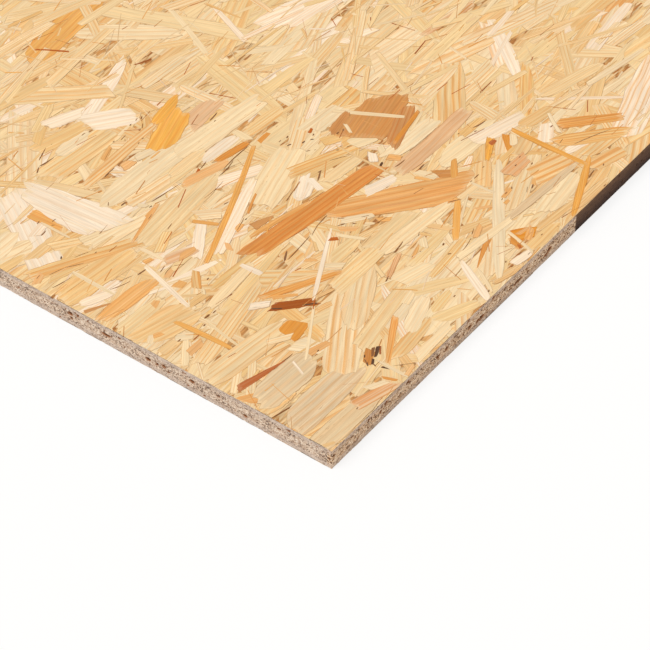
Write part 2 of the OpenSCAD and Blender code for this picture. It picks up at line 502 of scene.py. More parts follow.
def grain_grid(tree, spot, centre, run, sideways, seed):
    """Millimetres along and across the grain, and the strand's seed."""
    offset = add(tree, "ShaderNodeVectorMath", {0: spot, 1: centre}, operation="SUBTRACT")
    offset = add(tree, "ShaderNodeVectorMath", {0: offset, "Scale": 1 / MM}, operation="SCALE")
    grain_along = add(tree, "ShaderNodeVectorMath", {0: offset, 1: run},
                      operation="DOT_PRODUCT").outputs["Value"]
    grain_across = add(tree, "ShaderNodeVectorMath", {0: offset, 1: sideways},
                       operation="DOT_PRODUCT").outputs["Value"]
    return add(tree, "ShaderNodeCombineXYZ", {0: grain_along, 1: grain_across, 2: seed})


# %% [markdown]
# The tree itself takes points, puts a lid on each, realizes the lids, moves their corners and stores the
# grid that the finish reads.

# %% The strand tree
def strand_tree():
    """Points in, strands out. The points carry centre, run, size, form, point, tone, lines and lid."""
    tree = bpy.data.node_groups.new("pressed_strands", "GeometryNodeTree")
    sockets = tree.interface
    sockets.new_socket("Points", in_out="INPUT", socket_type="NodeSocketGeometry")
    for name in ("Bevel", "Foot", "Half length", "Half width", "Ragged side", "Ragged end", "Slanted end"):
        sockets.new_socket(name, in_out="INPUT", socket_type="NodeSocketFloat")
    sockets.new_socket("Finish", in_out="INPUT", socket_type="NodeSocketMaterial")
    sockets.new_socket("Strands", in_out="OUTPUT", socket_type="NodeSocketGeometry")
    given = add(tree, "NodeGroupInput").outputs

    kind = add(tree, "GeometryNodeInputNamedAttribute", {"Name": "lid"}, data_type="INT")
    placed = add(tree, "GeometryNodeInstanceOnPoints", {
        "Points": given["Points"], "Instance": lid_grids(tree), "Pick Instance": True, "Instance Index": kind,
    })
    loose = add(tree, "GeometryNodeRealizeInstances", {0: placed})

    # What each corner of each grid knows now.
    share, centre, run, size, form = (
        add(tree, "GeometryNodeInputNamedAttribute", {"Name": name}, data_type="FLOAT_VECTOR").outputs[0]
        for name in ("share", "centre", "run", "size", "form")
    )
    _, _, folded = add(tree, "ShaderNodeSeparateXYZ", {0: share}).outputs
    _, _, top = add(tree, "ShaderNodeSeparateXYZ", {0: size}).outputs
    _, _, seed = add(tree, "ShaderNodeSeparateXYZ", {0: form}).outputs
    sideways = add(tree, "ShaderNodeVectorMath", {0: (0.0, 0.0, 1.0), 1: run}, operation="CROSS_PRODUCT")
    local_along, local_across = strand_outline(tree, given, share, size, form)

    spot = spot_on_sheet(tree, given, centre, run, sideways, local_along, local_across)
    spot_x, spot_y, _ = add(tree, "ShaderNodeSeparateXYZ", {0: spot}).outputs
    height = add(tree, "ShaderNodeMix", {0: folded, 2: top, 3: given["Foot"]}, data_type="FLOAT")
    spot = add(tree, "ShaderNodeCombineXYZ", {0: spot_x, 1: spot_y, 2: height})
    grain = grain_grid(tree, spot, centre, run, sideways, seed)
    strands = add(tree, "GeometryNodeStoreNamedAttribute",
                  {"Geometry": loose, "Name": "grain", "Value": grain},
                  data_type="FLOAT_VECTOR", domain="POINT")
    strands = add(tree, "GeometryNodeSetPosition", {"Geometry": strands, "Position": spot})
    strands = add(tree, "GeometryNodeSetMaterial", {"Geometry": strands, "Material": given["Finish"]})
    add(tree, "NodeGroupOutput", {0: strands})
    return tree


strand_nodes = strand_tree()
print(f"{strand_nodes.name}: {len(strand_nodes.nodes)} nodes")

# %% [markdown]
# Before the tree can run, it needs to know where the strands lie. A mill drops them at random, most of them
# along the sheet, and no two are alike. A seeded generator draws what each strand is, so the sheet comes
# out the same every time.

# %% Chance for each strand
TONE_SHARES = {
    "ivory": 0.07, "cream": 0.35, "straw": 0.32, "tan": 0.14, "pinkish": 0.02, "honey": 0.05,
    "orange": 0.015, "amber": 0.025, "russet": 0.006, "bark": 0.004,
}
ALONG_SHEET_SHARE = 0.62
ALONG_SHEET_SPREAD_DEG = 16
# Shape of the draw for line strength, then how far chance tapers, points and bows a strand.
LINE_STRENGTH_DRAW = (1.3, 1.6)
TAPER_DRAW, POINT_DRAW, BOW_SPREAD = 0.55, 0.9, 0.04
# The power makes slight tapers and points more common than strong ones. Short strands are blunter.
SLIGHT_POWER = 1.5
POINTED_FROM = 60 * MM
# Strands this near to the corner, and at least this long, get a finer lid.
NEAR_REACH = 620 * MM
NEAR_LID_FROM = 15 * MM


def drop(rng, centre, lengths, widths, late):
    """Strands at these centres, with all else about them drawn at random."""
    count = len(centre)
    aligned = rng.random(count) < ALONG_SHEET_SHARE
    angle = np.where(aligned, rng.normal(0, ALONG_SHEET_SPREAD_DEG, count), rng.uniform(-90, 90, count))
    tones = rng.choice(list(TONE_SHARES), count, p=list(TONE_SHARES.values()))
    length = rng.uniform(*lengths, count) * MM
    near = np.hypot(*(centre - near_corner[:2]).T) < NEAR_REACH
    return {
        "centre": centre,
        "angle": np.radians(angle),
        "length": length,
        "width": rng.uniform(*widths, count) * MM,
        "tone": np.array([tone_value(name) for name in tones]),
        "lines": rng.beta(*LINE_STRENGTH_DRAW, count),
        "taper": rng.uniform(0, TAPER_DRAW, count) ** SLIGHT_POWER,
        "point": rng.uniform(0, POINT_DRAW, count) ** SLIGHT_POWER * np.minimum(length / POINTED_FROM, 1),
        "bow": rng.normal(0, BOW_SPREAD, count) * length,
        "seed": rng.random(count),
        "late": late + rng.random(count),
        "lid": np.where(near & (length > NEAR_LID_FROM), LID_NAMES.index("near"), LID_NAMES.index("plain")),
    }


print(f"{ALONG_SHEET_SHARE:.0%} of the strands lie along the sheet")

# %% [markdown]
# A face starts as a bed that leaves no bare spot: broad strands on a loose lattice. Broad strands, narrower
# ones, slivers and chips then drop on it, and splinters last. The table says how much of the face each kind
# covers.

# %% Strands of a whole face
STRAND_KINDS = (
    # Length range mm, width range mm, coverage of the face, how late it lands
    ((70, 140), (13, 30), 1.0, 0.0),
    ((45, 100), (7, 14), 1.0, 0.15),
    ((30, 80), (3, 7), 0.32, 0.3),
    ((20, 60), (1.2, 2.8), 0.05, 0.5),
    ((4, 14), (1.2, 3.5), 0.02, 0.6),
    ((15, 55), (0.6, 1.2), 0.02, 0.8),
)
SPLINTERS_PER_M2 = 1300
SPLINTER_LENGTHS, SPLINTER_WIDTHS, SPLINTERS_LATE = (5, 24), (0.5, 1.4), 3.0
SPLINTER_TONES = ("bark", "russet", "brown", "amber", "honey", "honey", "ivory")
BED_STEP = np.array([75, 18]) * MM
BED_LENGTHS, BED_WIDTHS = (95, 140), (22, 32)
BED_SCATTER, BED_TURN, BED_LATE = 0.3, 0.15, -1.0
OVERHANG = 30 * MM
half_sheet = np.array([sheet_length, sheet_width]) / 2


def draw_face(rng, coverage_scale):
    """Strands of one face, in the order in which they land."""
    steps = np.ceil(half_sheet / BED_STEP)
    lattice = np.stack(np.meshgrid(*(np.arange(-n, n + 1) for n in steps), indexing="ij"), -1).reshape(-1, 2)
    bed_centre = (lattice + rng.uniform(-BED_SCATTER, BED_SCATTER, lattice.shape)) * BED_STEP
    groups = [drop(rng, bed_centre, BED_LENGTHS, BED_WIDTHS, BED_LATE)]
    groups[0]["angle"] *= BED_TURN
    groups[0]["lid"][:] = LID_NAMES.index("bed")
    for lengths, widths, coverage, late in STRAND_KINDS:
        mean_area = sum(lengths) / 2 * sum(widths) / 2 * MM * MM
        count = int(coverage * coverage_scale * sheet_length * sheet_width / mean_area)
        centre = rng.uniform(-half_sheet - OVERHANG, half_sheet + OVERHANG, (count, 2))
        groups.append(drop(rng, centre, lengths, widths, late))
    count = int(SPLINTERS_PER_M2 * coverage_scale * sheet_length * sheet_width)
    centre = rng.uniform(-half_sheet, half_sheet, (count, 2))
    splinters = drop(rng, centre, SPLINTER_LENGTHS, SPLINTER_WIDTHS, SPLINTERS_LATE)
    splinters["tone"] = rng.choice([tone_value(name) for name in SPLINTER_TONES], count)
    splinters["lid"][:] = LID_NAMES.index("bed")
    groups.append(splinters)
    strands = {name: np.concatenate([group[name] for group in groups]) for name in groups[0]}
    order = np.argsort(strands["late"])
    return {name: part[order] for name, part in strands.items()}


UPPER_SEED, UNDER_SEED = 18, 81
UNDER_COVERAGE = 0.8
upper = draw_face(np.random.default_rng(UPPER_SEED), 1.0)
under = draw_face(np.random.default_rng(UNDER_SEED), UNDER_COVERAGE)
under["lid"][:] = LID_NAMES.index("bed")
print(f"upper face {len(upper['seed'])} strands, underside {len(under['seed'])}")

# %% [markdown]
# At the corner that the camera sees, chance would not do: the strands that give this sheet its look are
# placed one by one. Each row gives a tone, a width, how strong the latewood lines are, and the two ends in
# millimetres from the corner, first along the long edge and then along the short one. A last number makes
# a wedge. Strands land in the order of the rows, and the broad ones come first.

# %% Broad strands, listed
BROAD_STRANDS = (
    ("beige", 28, 0.4, 0, 35, 76, 34), ("beige", 20, 0.2, -4, 10, 60, 9),
    ("honey", 10, 0.4, 1, 75, 20, 63), ("tan", 14, 0.3, -2, 58, 27, 56),
    ("beige", 26, 0.2, 5, 66, 62, 63), ("straw", 22, 0.5, 0, 106, 76, 98),
    ("straw", 16, 0.9, 12, 119, 102, 140), ("cream", 27, 1.0, 62, 40, 131, 82),
    ("cream", 22, 0.6, 100, 60, 166, 92), ("tan", 14, 0.5, 94, 18, 143, 22),
    ("cream", 9, 0.2, 104, 6, 146, 7), ("straw", 14, 0.4, 88, 44, 156, 54),
    ("cream", 14, 0.2, 122, 26, 158, 37), ("straw", 14, 0.2, 142, 17, 176, 4),
    ("straw", 10, 0.4, 148, 24, 173, 26), ("cream", 18, 0.2, 158, 62, 188, 54),
    ("straw", 17, 0.4, 125, 92, 232, 95), ("ivory", 8, 0.1, 75, 129, 87, 119),
    ("straw", 9, 0.4, 60, 140, 140, 150), ("cream", 10, 0.3, 58, 150, 112, 155),
    ("straw", 14, 0.3, 148, 112, 180, 110), ("tan", 30, 0.3, 0, 171, 50, 159),
    ("straw", 14, 0.3, 0, 184, 45, 182), ("apricot", 14, 0.4, 2, 202, 58, 200),
    ("tan", 26, 0.3, 0, 238, 74, 232), ("ivory", 10, 0.2, 6, 224, 32, 213),
    ("tan", 9, 0.5, 12, 259, 42, 250), ("tan", 14, 0.8, 5, 272, 80, 236),
    ("straw", 11, 0.2, 84, 340, 103, 286), ("tan", 10, 0.3, 20, 283, 52, 284),
    ("straw", 12, 0.6, 38, 280, 57, 268), ("honey", 12, 0.5, 57, 317, 61, 290),
    ("ivory", 9, 0.4, 40, 298, 55, 301), ("ivory", 42, 0.1, 80, 259, 74, 338, 0.5),
    ("straw", 24, 0.7, 95, 335, 166, 332), ("cream", 14, 0.1, 118, 346, 152, 343),
    ("tan", 16, 0.2, 112, 362, 158, 352), ("ivory", 24, 0.1, 158, 354, 190, 330),
    ("tan", 9, 0.2, 118, 366, 138, 378), ("straw", 10, 0.3, 128, 376, 160, 390),
    ("ivory", 14, 0.1, 138, 376, 168, 364), ("tan", 12, 0.9, 103, 305, 190, 311),
    ("cream", 24, 0.1, 95, 281, 192, 277), ("pinkish", 18, 0.1, 205, 290, 240, 293),
    ("cream", 24, 0.1, 172, 272, 262, 266), ("straw", 16, 0.4, 118, 263, 188, 260),
    ("cream", 13, 0.8, 108, 267, 150, 262), ("ivory", 11, 0.2, 178, 255, 217, 253),
    ("straw", 13, 0.7, 222, 249, 264, 246), ("straw", 30, 0.3, 82, 231, 172, 238),
    ("orange", 22, 0.3, 168, 289, 216, 306), ("orange", 12, 0.2, 190, 311, 226, 318),
    ("cream", 30, 0.2, 165, 190, 230, 209), ("ivory", 12, 0.3, 105, 181, 186, 212),
    ("ivory", 10, 0.2, 92, 190, 125, 212), ("tan", 13, 1.0, 205, 194, 262, 174),
    ("cream", 14, 0.9, 230, 208, 264, 226), ("cream", 18, 0.2, 254, 214, 292, 211),
    ("tan", 12, 0.3, 249, 197, 264, 189), ("honey", 12, 0.8, 262, 191, 292, 197),
    ("tan", 14, 0.6, 256, 184, 282, 180), ("ivory", 14, 0.2, 186, 170, 212, 179),
    ("straw", 12, 0.3, 213, 168, 252, 164), ("tan", 8, 0.3, 210, 182, 250, 172),
    ("straw", 14, 0.3, 175, 98, 226, 97), ("honey", 35, 0.6, 272, 82, 186, 147, 0.45),
    ("ivory", 11, 0.2, 222, 137, 250, 129), ("amber", 19, 0.8, 118, 162, 252, 147),
    ("cream", 14, 0.1, 260, 178, 280, 168), ("cream", 16, 0.1, 266, 147, 322, 145),
    ("pinkish", 16, 0.3, 255, 130, 348, 131), ("brown", 40, 0.2, 270, 178, 325, 190),
    ("brown", 14, 0.8, 277, 153, 324, 170), ("cream", 22, 0.1, 282, 112, 346, 106),
    ("ivory", 16, 0.2, 318, 107, 368, 93), ("cream", 16, 0.3, 175, 88, 250, 82),
    ("straw", 12, 0.3, 176, 64, 232, 67), ("straw", 8, 1.0, 176, 45, 226, 50),
    ("cream", 13, 0.6, 203, 13, 246, 36), ("tan", 8, 0.6, 198, 8, 226, 1),
    ("tan", 10, 0.4, 228, 57, 252, 46), ("tan", 12, 0.3, 242, 6, 280, 6),
    ("tan", 9, 0.3, 244, 36, 278, 40), ("cream", 20, 0.2, 283, 20, 334, 26),
    ("cream", 16, 0.6, 270, 40, 334, 62), ("tan", 8, 0.5, 262, 14, 312, 8),
    ("tan", 9, 0.5, 298, 5, 344, 3), ("tan", 14, 0.5, 280, 72, 304, 88),
    ("tan", 22, 1.0, 310, 49, 348, 37), ("tan", 14, 0.3, 326, 72, 348, 77),
    ("ivory", 13, 0.2, 350, 63, 370, 75), ("tan", 14, 0.5, 356, 88, 388, 82),
    ("ivory", 9, 0.2, 350, 45, 380, 37), ("tan", 15, 0.9, 344, 22, 378, 12),
    ("straw", 13, 0.8, 355, 31, 400, 24), ("tan", 15, 1.0, 354, 58, 400, 20),
    ("honey", 13, 1.0, 373, 69, 412, 33), ("amber", 10, 0.4, 242, 31, 250, 23),
    ("amber", 14, 0.5, 246, 25, 262, 13),
)
print(f"{len(BROAD_STRANDS)} broad strands")

# %% [markdown]
# Narrow strands, slivers and chips lie over the broad ones. They cover little, but they give the face its
# accents of orange, russet and dark brown. Their rows read as those above. Rows in the crack and pit tones
# are painted shade: the dark of small holes and gaps among the chips.

# %% Narrow strands, listed
NARROW_STRANDS = (
    ("pinkish", 11, 1.0, 42, 13, 77, 3, 0.1), ("cream", 6, 0.2, 60, 16, 74, 9),
    ("tan", 4, 0.3, 0, 7, 8, 3), ("amber", 3, 0.3, 75, 14, 79, 4), ("cream", 3.5, 0.1, 86, 0, 86, 27),
    ("brown", 8, 0.6, 92, 36, 79, 30, 0.2), ("brown", 1.2, 0.2, 105, 36, 97, 33),
    ("bark", 2, 0.3, 99, 33, 92, 28), ("crack", 3, 0.4, 95, 36, 87, 31, 0.4),
    ("pit", 3.4, 0.4, 98, 34, 88, 29, 0.3), ("pit", 2.4, 0.2, 86, 29.5, 81, 26.5),
    ("pit", 1.6, 0.2, 80.5, 31, 78, 28), ("pit", 1.4, 0.2, 85.5, 36.5, 83, 34.5),
    ("crack", 1.2, 0.2, 82, 34, 80, 31), ("pit", 2.6, 0.2, 83, 20.5, 84.5, 14, 0.9),
    ("honey", 6, 0.9, 129, 42, 88, 19, 0.3), ("russet", 8, 0.1, 8, 85, 48, 76, 0.85),
    ("ivory", 3, 0.1, 51, 72, 45, 58), ("amber", 18, 0.1, 68, 90, 85, 92, 0.1),
    ("cream", 6.5, 0.5, 54, 97, 70, 87, 0.1), ("honey", 7, 0.3, 63, 68, 81, 63),
    ("cream", 3, 0.1, 57, 65, 103, 93), ("apricot", 4, 0.2, 86, 2, 98, 4),
    ("cream", 8, 0.2, 143, 44, 157, 47), ("honey", 1.5, 0.0, 150, 60, 160, 45),
    ("pinkish", 5, 1.0, 157, 69, 184, 78), ("apricot", 1.5, 0.0, 178, 24, 183, 15),
    ("orange", 5.5, 0.3, 33, 161, 36, 112), ("ivory", 5, 0.1, 64, 214, 50, 162),
    ("cream", 3, 0.1, 46, 144, 40, 110), ("cream", 8, 0.1, 20, 150, 30, 141),
    ("tan", 9, 0.3, 3, 148, 19, 147), ("cream", 6, 0.2, 3, 127, 23, 143),
    ("apricot", 7, 0.3, 14, 133, 29, 133), ("cream", 5, 0.2, 5, 160, 13, 165),
    ("apricot", 5, 0.3, 12, 163, 19, 160), ("tan", 7, 0.4, 52, 163, 67, 161),
    ("cream", 4, 0.0, 66, 162, 70, 166), ("tan", 8, 0.9, 68, 170, 82, 182),
    ("bark", 9, 0.5, 84, 116, 108, 95), ("pit", 2, 0.3, 99, 100, 107, 93),
    ("pit", 1.8, 0.3, 83, 115, 88, 109), ("honey", 8, 1.0, 87, 128, 143, 99),
    ("honey", 4, 0.4, 92, 122, 106, 109), ("honey", 6, 0.4, 133, 174, 190, 163),
    ("tan", 4, 0.2, 105, 132, 111, 131), ("ivory", 6, 0.1, 107, 142, 106, 161),
    ("tan", 6, 0.3, 142, 178, 162, 177), ("apricot", 5, 0.2, 113, 176, 118, 183),
    ("cream", 6, 0.1, 163, 141, 153, 123), ("brown", 9, 0.1, 142, 179, 161, 174, 0.7),
    ("ivory", 4, 0.1, 107, 97, 176, 133), ("apricot", 4, 0.2, 137, 128, 143, 120),
    ("tan", 3, 0.2, 150, 126, 157, 134), ("cream", 4, 0.1, 172, 126, 181, 106),
    ("apricot", 6, 0.3, 178, 128, 187, 117), ("russet", 4, 0.2, 165, 127, 170, 122),
    ("cream", 8, 0.2, 140, 112, 149, 101), ("tan", 4, 0.8, 112, 97, 125, 93),
    ("tan", 5, 0.8, 101, 89, 113, 85), ("cream", 4.5, 0.1, 28, 251, 28, 211),
    ("apricot", 6, 0.3, 3, 263, 14, 267), ("brown", 4, 0.3, 2, 217, 20, 208, 0.6),
    ("cream", 4, 0.1, 76, 229, 77, 208), ("apricot", 5, 0.3, 66, 217, 73, 215),
    ("apricot", 5, 0.3, 63, 194, 73, 196), ("pinkish", 11, 0.4, 76, 206, 100, 196),
    ("straw", 9, 0.7, 80, 215, 102, 225), ("apricot", 6, 0.2, 35, 182, 42, 184),
    ("apricot", 8, 0.2, 60, 182, 68, 182), ("cream", 3, 0.1, 54, 303, 54, 276),
    ("orange", 5.5, 0.6, 93, 180, 216, 234), ("honey", 4.5, 0.3, 121, 218, 130, 200),
    ("cream", 12, 0.5, 128, 219, 141, 206), ("cream", 5, 0.1, 111, 261, 114, 254),
    ("apricot", 4, 0.3, 104, 247, 121, 250, 0.6), ("apricot", 5, 0.6, 121, 250, 77, 237, 0.5),
    ("straw", 10, 0.4, 150, 263, 186, 263), ("russet", 3, 0.2, 161, 247, 170, 251),
    ("apricot", 10, 0.3, 149, 249, 190, 239), ("amber", 7, 0.6, 184, 246, 216, 241),
    ("apricot", 5, 0.3, 132, 186, 141, 187), ("amber", 2.5, 0.3, 152, 191, 173, 200),
    ("apricot", 8, 0.3, 85, 200, 100, 197), ("cream", 7, 0.1, 220, 258, 219, 242),
    ("amber", 5, 0.3, 221, 235, 234, 236), ("apricot", 9, 0.2, 136, 297, 147, 296),
    ("cream", 8, 0.1, 150, 296, 166, 292), ("apricot", 2, 0.2, 157, 287, 168, 287),
    ("apricot", 5, 0.3, 134, 314, 150, 320), ("ivory", 8, 0.1, 181, -2, 203, 39),
    ("cream", 4, 0.1, 190, 2, 204, 24), ("amber", 6, 0.4, 236, 37, 204, 25, 0.85),
    ("orange", 6, 0.4, 219, 54, 258, 79), ("cream", 3.5, 0.1, 250, 30, 242, 2),
    ("apricot", 5, 0.4, 238, 14, 245, 24), ("apricot", 6, 0.5, 250, 13, 264, 18),
    ("apricot", 4, 0.4, 251, 22, 262, 20), ("ivory", 8, 0.1, 223, 7, 241, 4),
    ("cream", 6, 0.1, 229, 19, 241, 18), ("apricot", 5, 0.5, 230, 44, 244, 49),
    ("apricot", 3, 0.3, 184, 67, 197, 71), ("tan", 3, 0.3, 210, 79, 213, 70),
    ("tan", 6, 0.3, 221, 79, 227, 63), ("cream", 7, 0.1, 199, 67, 207, 75),
    ("apricot", 3, 0.2, 256, 62, 266, 54), ("cream", 5, 0.1, 248, 33, 262, 33),
    ("cream", 10, 0.1, 204, 6, 312, 80), ("beige", 8, 0.3, 258, 37, 345, 31),
    ("cream", 8, 0.15, 204, 42, 263, 35), ("amber", 6, 0.3, 243, 23, 241, 12),
    ("russet", 3, 0.2, 243, 16, 240, 12), ("cream", 3, 0.1, 278, 81, 279, 61),
    ("pinkish", 14, 0.6, 302, 65, 328, 65), ("apricot", 4, 0.3, 273, 48, 279, 48),
    ("apricot", 4, 0.4, 278, 53, 291, 54), ("apricot", 4, 0.3, 304, 43, 310, 47),
    ("orange", 8, 0.3, 330, 99, 306, 86, 0.5), ("russet", 5, 0.2, 323, 95, 330, 95),
    ("amber", 7, 0.3, 340, 92, 325, 78, 0.4), ("cream", 7, 0.1, 333, 80, 344, 88),
    ("tan", 5, 0.3, 312, 78, 331, 78), ("orange", 6, 0.7, 292, 1, 357, 28),
    ("orange", 6, 0.5, 347, 92, 347, 24), ("cream", 8, 0.1, 373, 73, 392, 73),
    ("cream", 4, 0.1, 366, 61, 381, 81), ("cream", 5, 0.2, 284, 213, 311, 165),
    ("brown", 9, 0.5, 262, 198, 290, 203), ("cream", 3.5, 0.1, 277, 196, 271, 186),
    ("amber", 5, 0.5, 280, 153, 324, 161), ("cream", 3, 0.1, 300, 152, 325, 158),
    ("tan", 2.5, 0.1, 252, 186, 251, 130), ("ivory", 8, 0.1, 254, 152, 262, 160),
    ("cream", 6, 0.1, 267, 153, 272, 160), ("apricot", 8, 0.3, 265, 148, 270, 138),
    ("apricot", 4, 0.3, 258, 118, 263, 106), ("cream", 7, 0.1, 264, 121, 268, 104),
    ("brown", 10, 0.4, 270, 108, 281, 96), ("honey", 6, 0.3, 275, 94, 293, 107),
    ("ivory", 8, 0.0, 212, 184, 188, 172, 0.2), ("ivory", 6, 0.0, 210, 180, 205, 164),
    ("cream", 8, 0.2, 186, 132, 206, 117), ("apricot", 5, 0.3, 203, 112, 210, 104),
    ("tan", 8, 0.5, 318, 118, 346, 117), ("cream", 7, 0.1, 231, 197, 246, 197),
    ("russet", 3, 0.2, 252, 211, 258, 213), ("cream", 4, 0.1, 258, 208, 269, 213),
)
print(f"{len(NARROW_STRANDS)} narrow strands")

# %% [markdown]
# Where two strands do not quite meet, a short gap is left, dark with shade. A real gap would have to be cut
# through every strand below it, so a crack is made as its painted shadow: a thin dark strand that lands last.

# %% Cracks, listed
CRACK_SHADOWS = (
    # Width and two ends, in mm
    (2, 40, 10, 43, 10), (1.5, 0, 50, 18, 46), (1, 80, 24.5, 87, 24.5), (1.6, 82, 27, 81, 23),
    (1, 46, 77, 57, 76), (2.5, 68, 64, 71, 64), (1.5, 153, 68, 160, 70), (2, 169, 21, 172, 21),
    (1, 88, 15, 100, 4), (2, 18, 146, 22, 146), (2.4, 47, 146, 53, 146), (2, 41, 142, 44, 142),
    (1.2, 55, 145, 59, 145), (2, 79, 170, 82, 170), (1, 52, 160, 60, 159), (2.4, 127, 138, 138, 144),
    (1.2, 130, 137, 160, 140), (1.2, 160, 140, 185, 145), (1.2, 15, 262, 28, 258),
    (1.2, 28, 258, 40, 250), (1.2, 40, 260, 52, 255), (2, 52, 251, 55, 251), (3, 33, 266, 36, 268),
    (1, 7, 251, 25, 247), (1.2, 30, 217, 46, 211), (1.2, 40, 218, 52, 214), (2, 53, 212, 62, 211),
    (1.2, 65, 201, 73, 203), (1.2, 64, 197, 76, 199), (1, 76, 198, 82, 193), (1, 70, 262, 82, 264),
    (1.5, 103, 226, 111, 228), (1, 145, 226, 170, 227), (1, 120, 255, 150, 251),
    (2.5, 114, 252, 117, 252), (1.2, 103, 244, 110, 246), (1.5, 170, 250, 180, 252),
    (1.3, 172, 233, 193, 236), (1.5, 180, 237, 213, 239), (1.2, 132, 185, 147, 190),
    (2.5, 145, 188, 148, 188), (1.5, 149, 211, 154, 210), (2, 188, 5, 191, 5), (1.5, 219, 6, 222, 6),
    (1.5, 221, 12, 223, 13), (1.2, 237, 4, 241, 4), (1.2, 212, 43, 228, 46), (1.2, 231, 48, 238, 51),
    (2, 203, 50, 206, 48), (2, 209, 58, 212, 59), (2, 185, 68, 187, 69), (2, 193, 67, 195, 67),
    (1.2, 207, 78, 211, 80), (2, 181, 81, 196, 83), (1.5, 250, 82, 259, 76), (1.5, 260, 8, 263, 8),
    (1.2, 180, 177, 205, 183), (2, 211, 172, 223, 178), (1.2, 235, 180, 250, 171),
    (3.5, 253, 146, 258, 147), (1.8, 258, 136, 271, 135), (1.5, 268, 121, 275, 121),
    (1.2, 180, 131, 186, 128), (1.2, 189, 125, 191, 121), (1.2, 198, 123, 204, 119),
    (1.2, 187, 136, 190, 131), (1.2, 200, 110, 210, 108), (3, 230, 215, 234, 214),
    (2, 230, 223, 233, 223), (2, 237, 221, 240, 222), (3, 239, 208, 243, 208), (2.5, 246, 206, 249, 204),
    (2, 251, 207, 254, 208), (2, 219, 178, 223, 177), (3, 248, 183, 250, 181), (1.5, 255, 179, 260, 177),
    (2, 263, 194, 267, 194), (2, 269, 192, 272, 194), (1.5, 233, 200, 237, 198), (2, 238, 196, 240, 195),
    (2.5, 313, 66, 316, 66), (2, 323, 69, 326, 69), (1.2, 293, 42, 300, 46), (1.2, 300, 42, 305, 44),
    (1.5, 275, 52, 278, 53), (1.5, 282, 54, 286, 54), (1.5, 290, 53, 293, 55), (1.2, 278, 82, 281, 82),
    (1.5, 283, 82, 290, 82), (1.5, 297, 84, 300, 84), (1.2, 335, 15, 345, 17), (2, 353, 14, 356, 15),
    (1.5, 333, 1, 337, 1), (2, 275, 3, 277, 4), (2, 331, 116, 344, 113), (2, 328, 113, 331, 112),
    (1.5, 318, 121, 321, 121), (2, 322, 57, 325, 58), (1.5, 337, 54, 340, 54), (1.5, 97, 277, 101, 280),
    (2, 93, 343, 100, 347), (2, 100, 347, 115, 345), (1.5, 105, 352, 120, 358), (1, 134, 313, 150, 319),
    (1.5, 120, 301, 133, 302), (1.5, 103, 270, 108, 270), (1.5, 146, 346, 151, 346),
    (2, 124, 357, 126, 357), (2, 154, 322, 157, 322), (1.2, 160, 319, 167, 320),
    (1.5, 170, 307, 173, 307), (1.5, 164, 306, 167, 306), (2.5, 177, 325, 180, 325),
    (1.2, 180, 315, 186, 319), (1.5, 184, 325, 188, 326), (1.5, 188, 323, 192, 325),
    (1.8, 218, 280, 230, 282), (1, 207, 289, 209, 283), (1.5, 219, 277, 222, 277),
    (1.5, 43, 294, 50, 295), (1.5, 59, 298, 64, 298), (1.5, 51, 305, 55, 306), (2, 56, 296, 58, 294),
    (1.5, 360, 46, 395, 32), (2, 367, 70, 371, 70), (1.2, 355, 54, 362, 55), (1.2, 7, 266, 12, 267),
)
print(f"{len(CRACK_SHADOWS)} cracks")

# %% [markdown]
# All rows become the same arrays that chance fills for the rest of the face, so that one tree builds both.
# Around them the random strands are kept pale, or they would compete with the accents.

# %% From rows to strands
BY_EYE_REACH = np.array([430, 410]) * MM
BY_EYE_SEED = 5
# A crack's painted shadow is drawn a little narrower than its row says. A wide one takes the darker pit tone.
CRACK_NARROWING, PIT_FROM_MM, CRACK_WIDEST_SHARE = 0.85, 2.5, 0.45
SHORT_STRAND = 25 * MM
BLUNT_POINT, SHARP_POINT = 0.3, 0.7
PLACED_TAPER, PLACED_BOW, CRACK_BOW = 0.3, 0.025, 0.1
# A seed worked out from its ends lets a strand keep its torn outline when other rows change.
SEED_STEP = 0.618


def placed_strands(rng):
    """The listed strands and cracks, as the same arrays that chance fills for the rest."""
    cracks = [
        ("pit" if width >= PIT_FROM_MM else "crack", CRACK_NARROWING * width, 0.0, *ends)
        for width, *ends in CRACK_SHADOWS
    ]
    rows = [*BROAD_STRANDS, *NARROW_STRANDS, *cracks]
    count = len(rows)
    ends = np.array([row[3:7] for row in rows]).reshape(count, 2, 2) * MM + near_corner[:2]
    span = ends[:, 1] - ends[:, 0]
    length = np.hypot(*span.T)
    crack = np.arange(count) >= count - len(CRACK_SHADOWS)
    width = np.array([row[1] for row in rows]) * MM
    width[crack] = np.minimum(width[crack], CRACK_WIDEST_SHARE * length[crack])
    wedge = np.array([row[7] if len(row) > 7 else -1.0 for row in rows])
    blunt = (length < SHORT_STRAND) | (wedge >= 0)
    most_point = np.where(blunt, BLUNT_POINT, SHARP_POINT)
    return {
        "centre": ends.mean(1),
        "angle": np.arctan2(span[:, 1], span[:, 0]),
        "length": length,
        "width": width,
        "tone": np.array([tone_value(row[0]) for row in rows]),
        "lines": np.array([row[2] for row in rows]),
        "taper": np.where(wedge >= 0, wedge, rng.uniform(0, PLACED_TAPER, count)),
        "point": np.where(crack, 1.0, rng.uniform(0, 1, count) * most_point),
        "bow": rng.normal(0, 1, count) * np.where(crack, CRACK_BOW, PLACED_BOW) * length,
        "seed": ends.sum((1, 2)) / MM * SEED_STEP % 1.0,
        "late": SPLINTERS_LATE + np.where(crack, 1.0, np.arange(count) / count - 1.0),
        "lid": np.where(length > SHORT_STRAND, LID_NAMES.index("fine"), LID_NAMES.index("near")),
    }


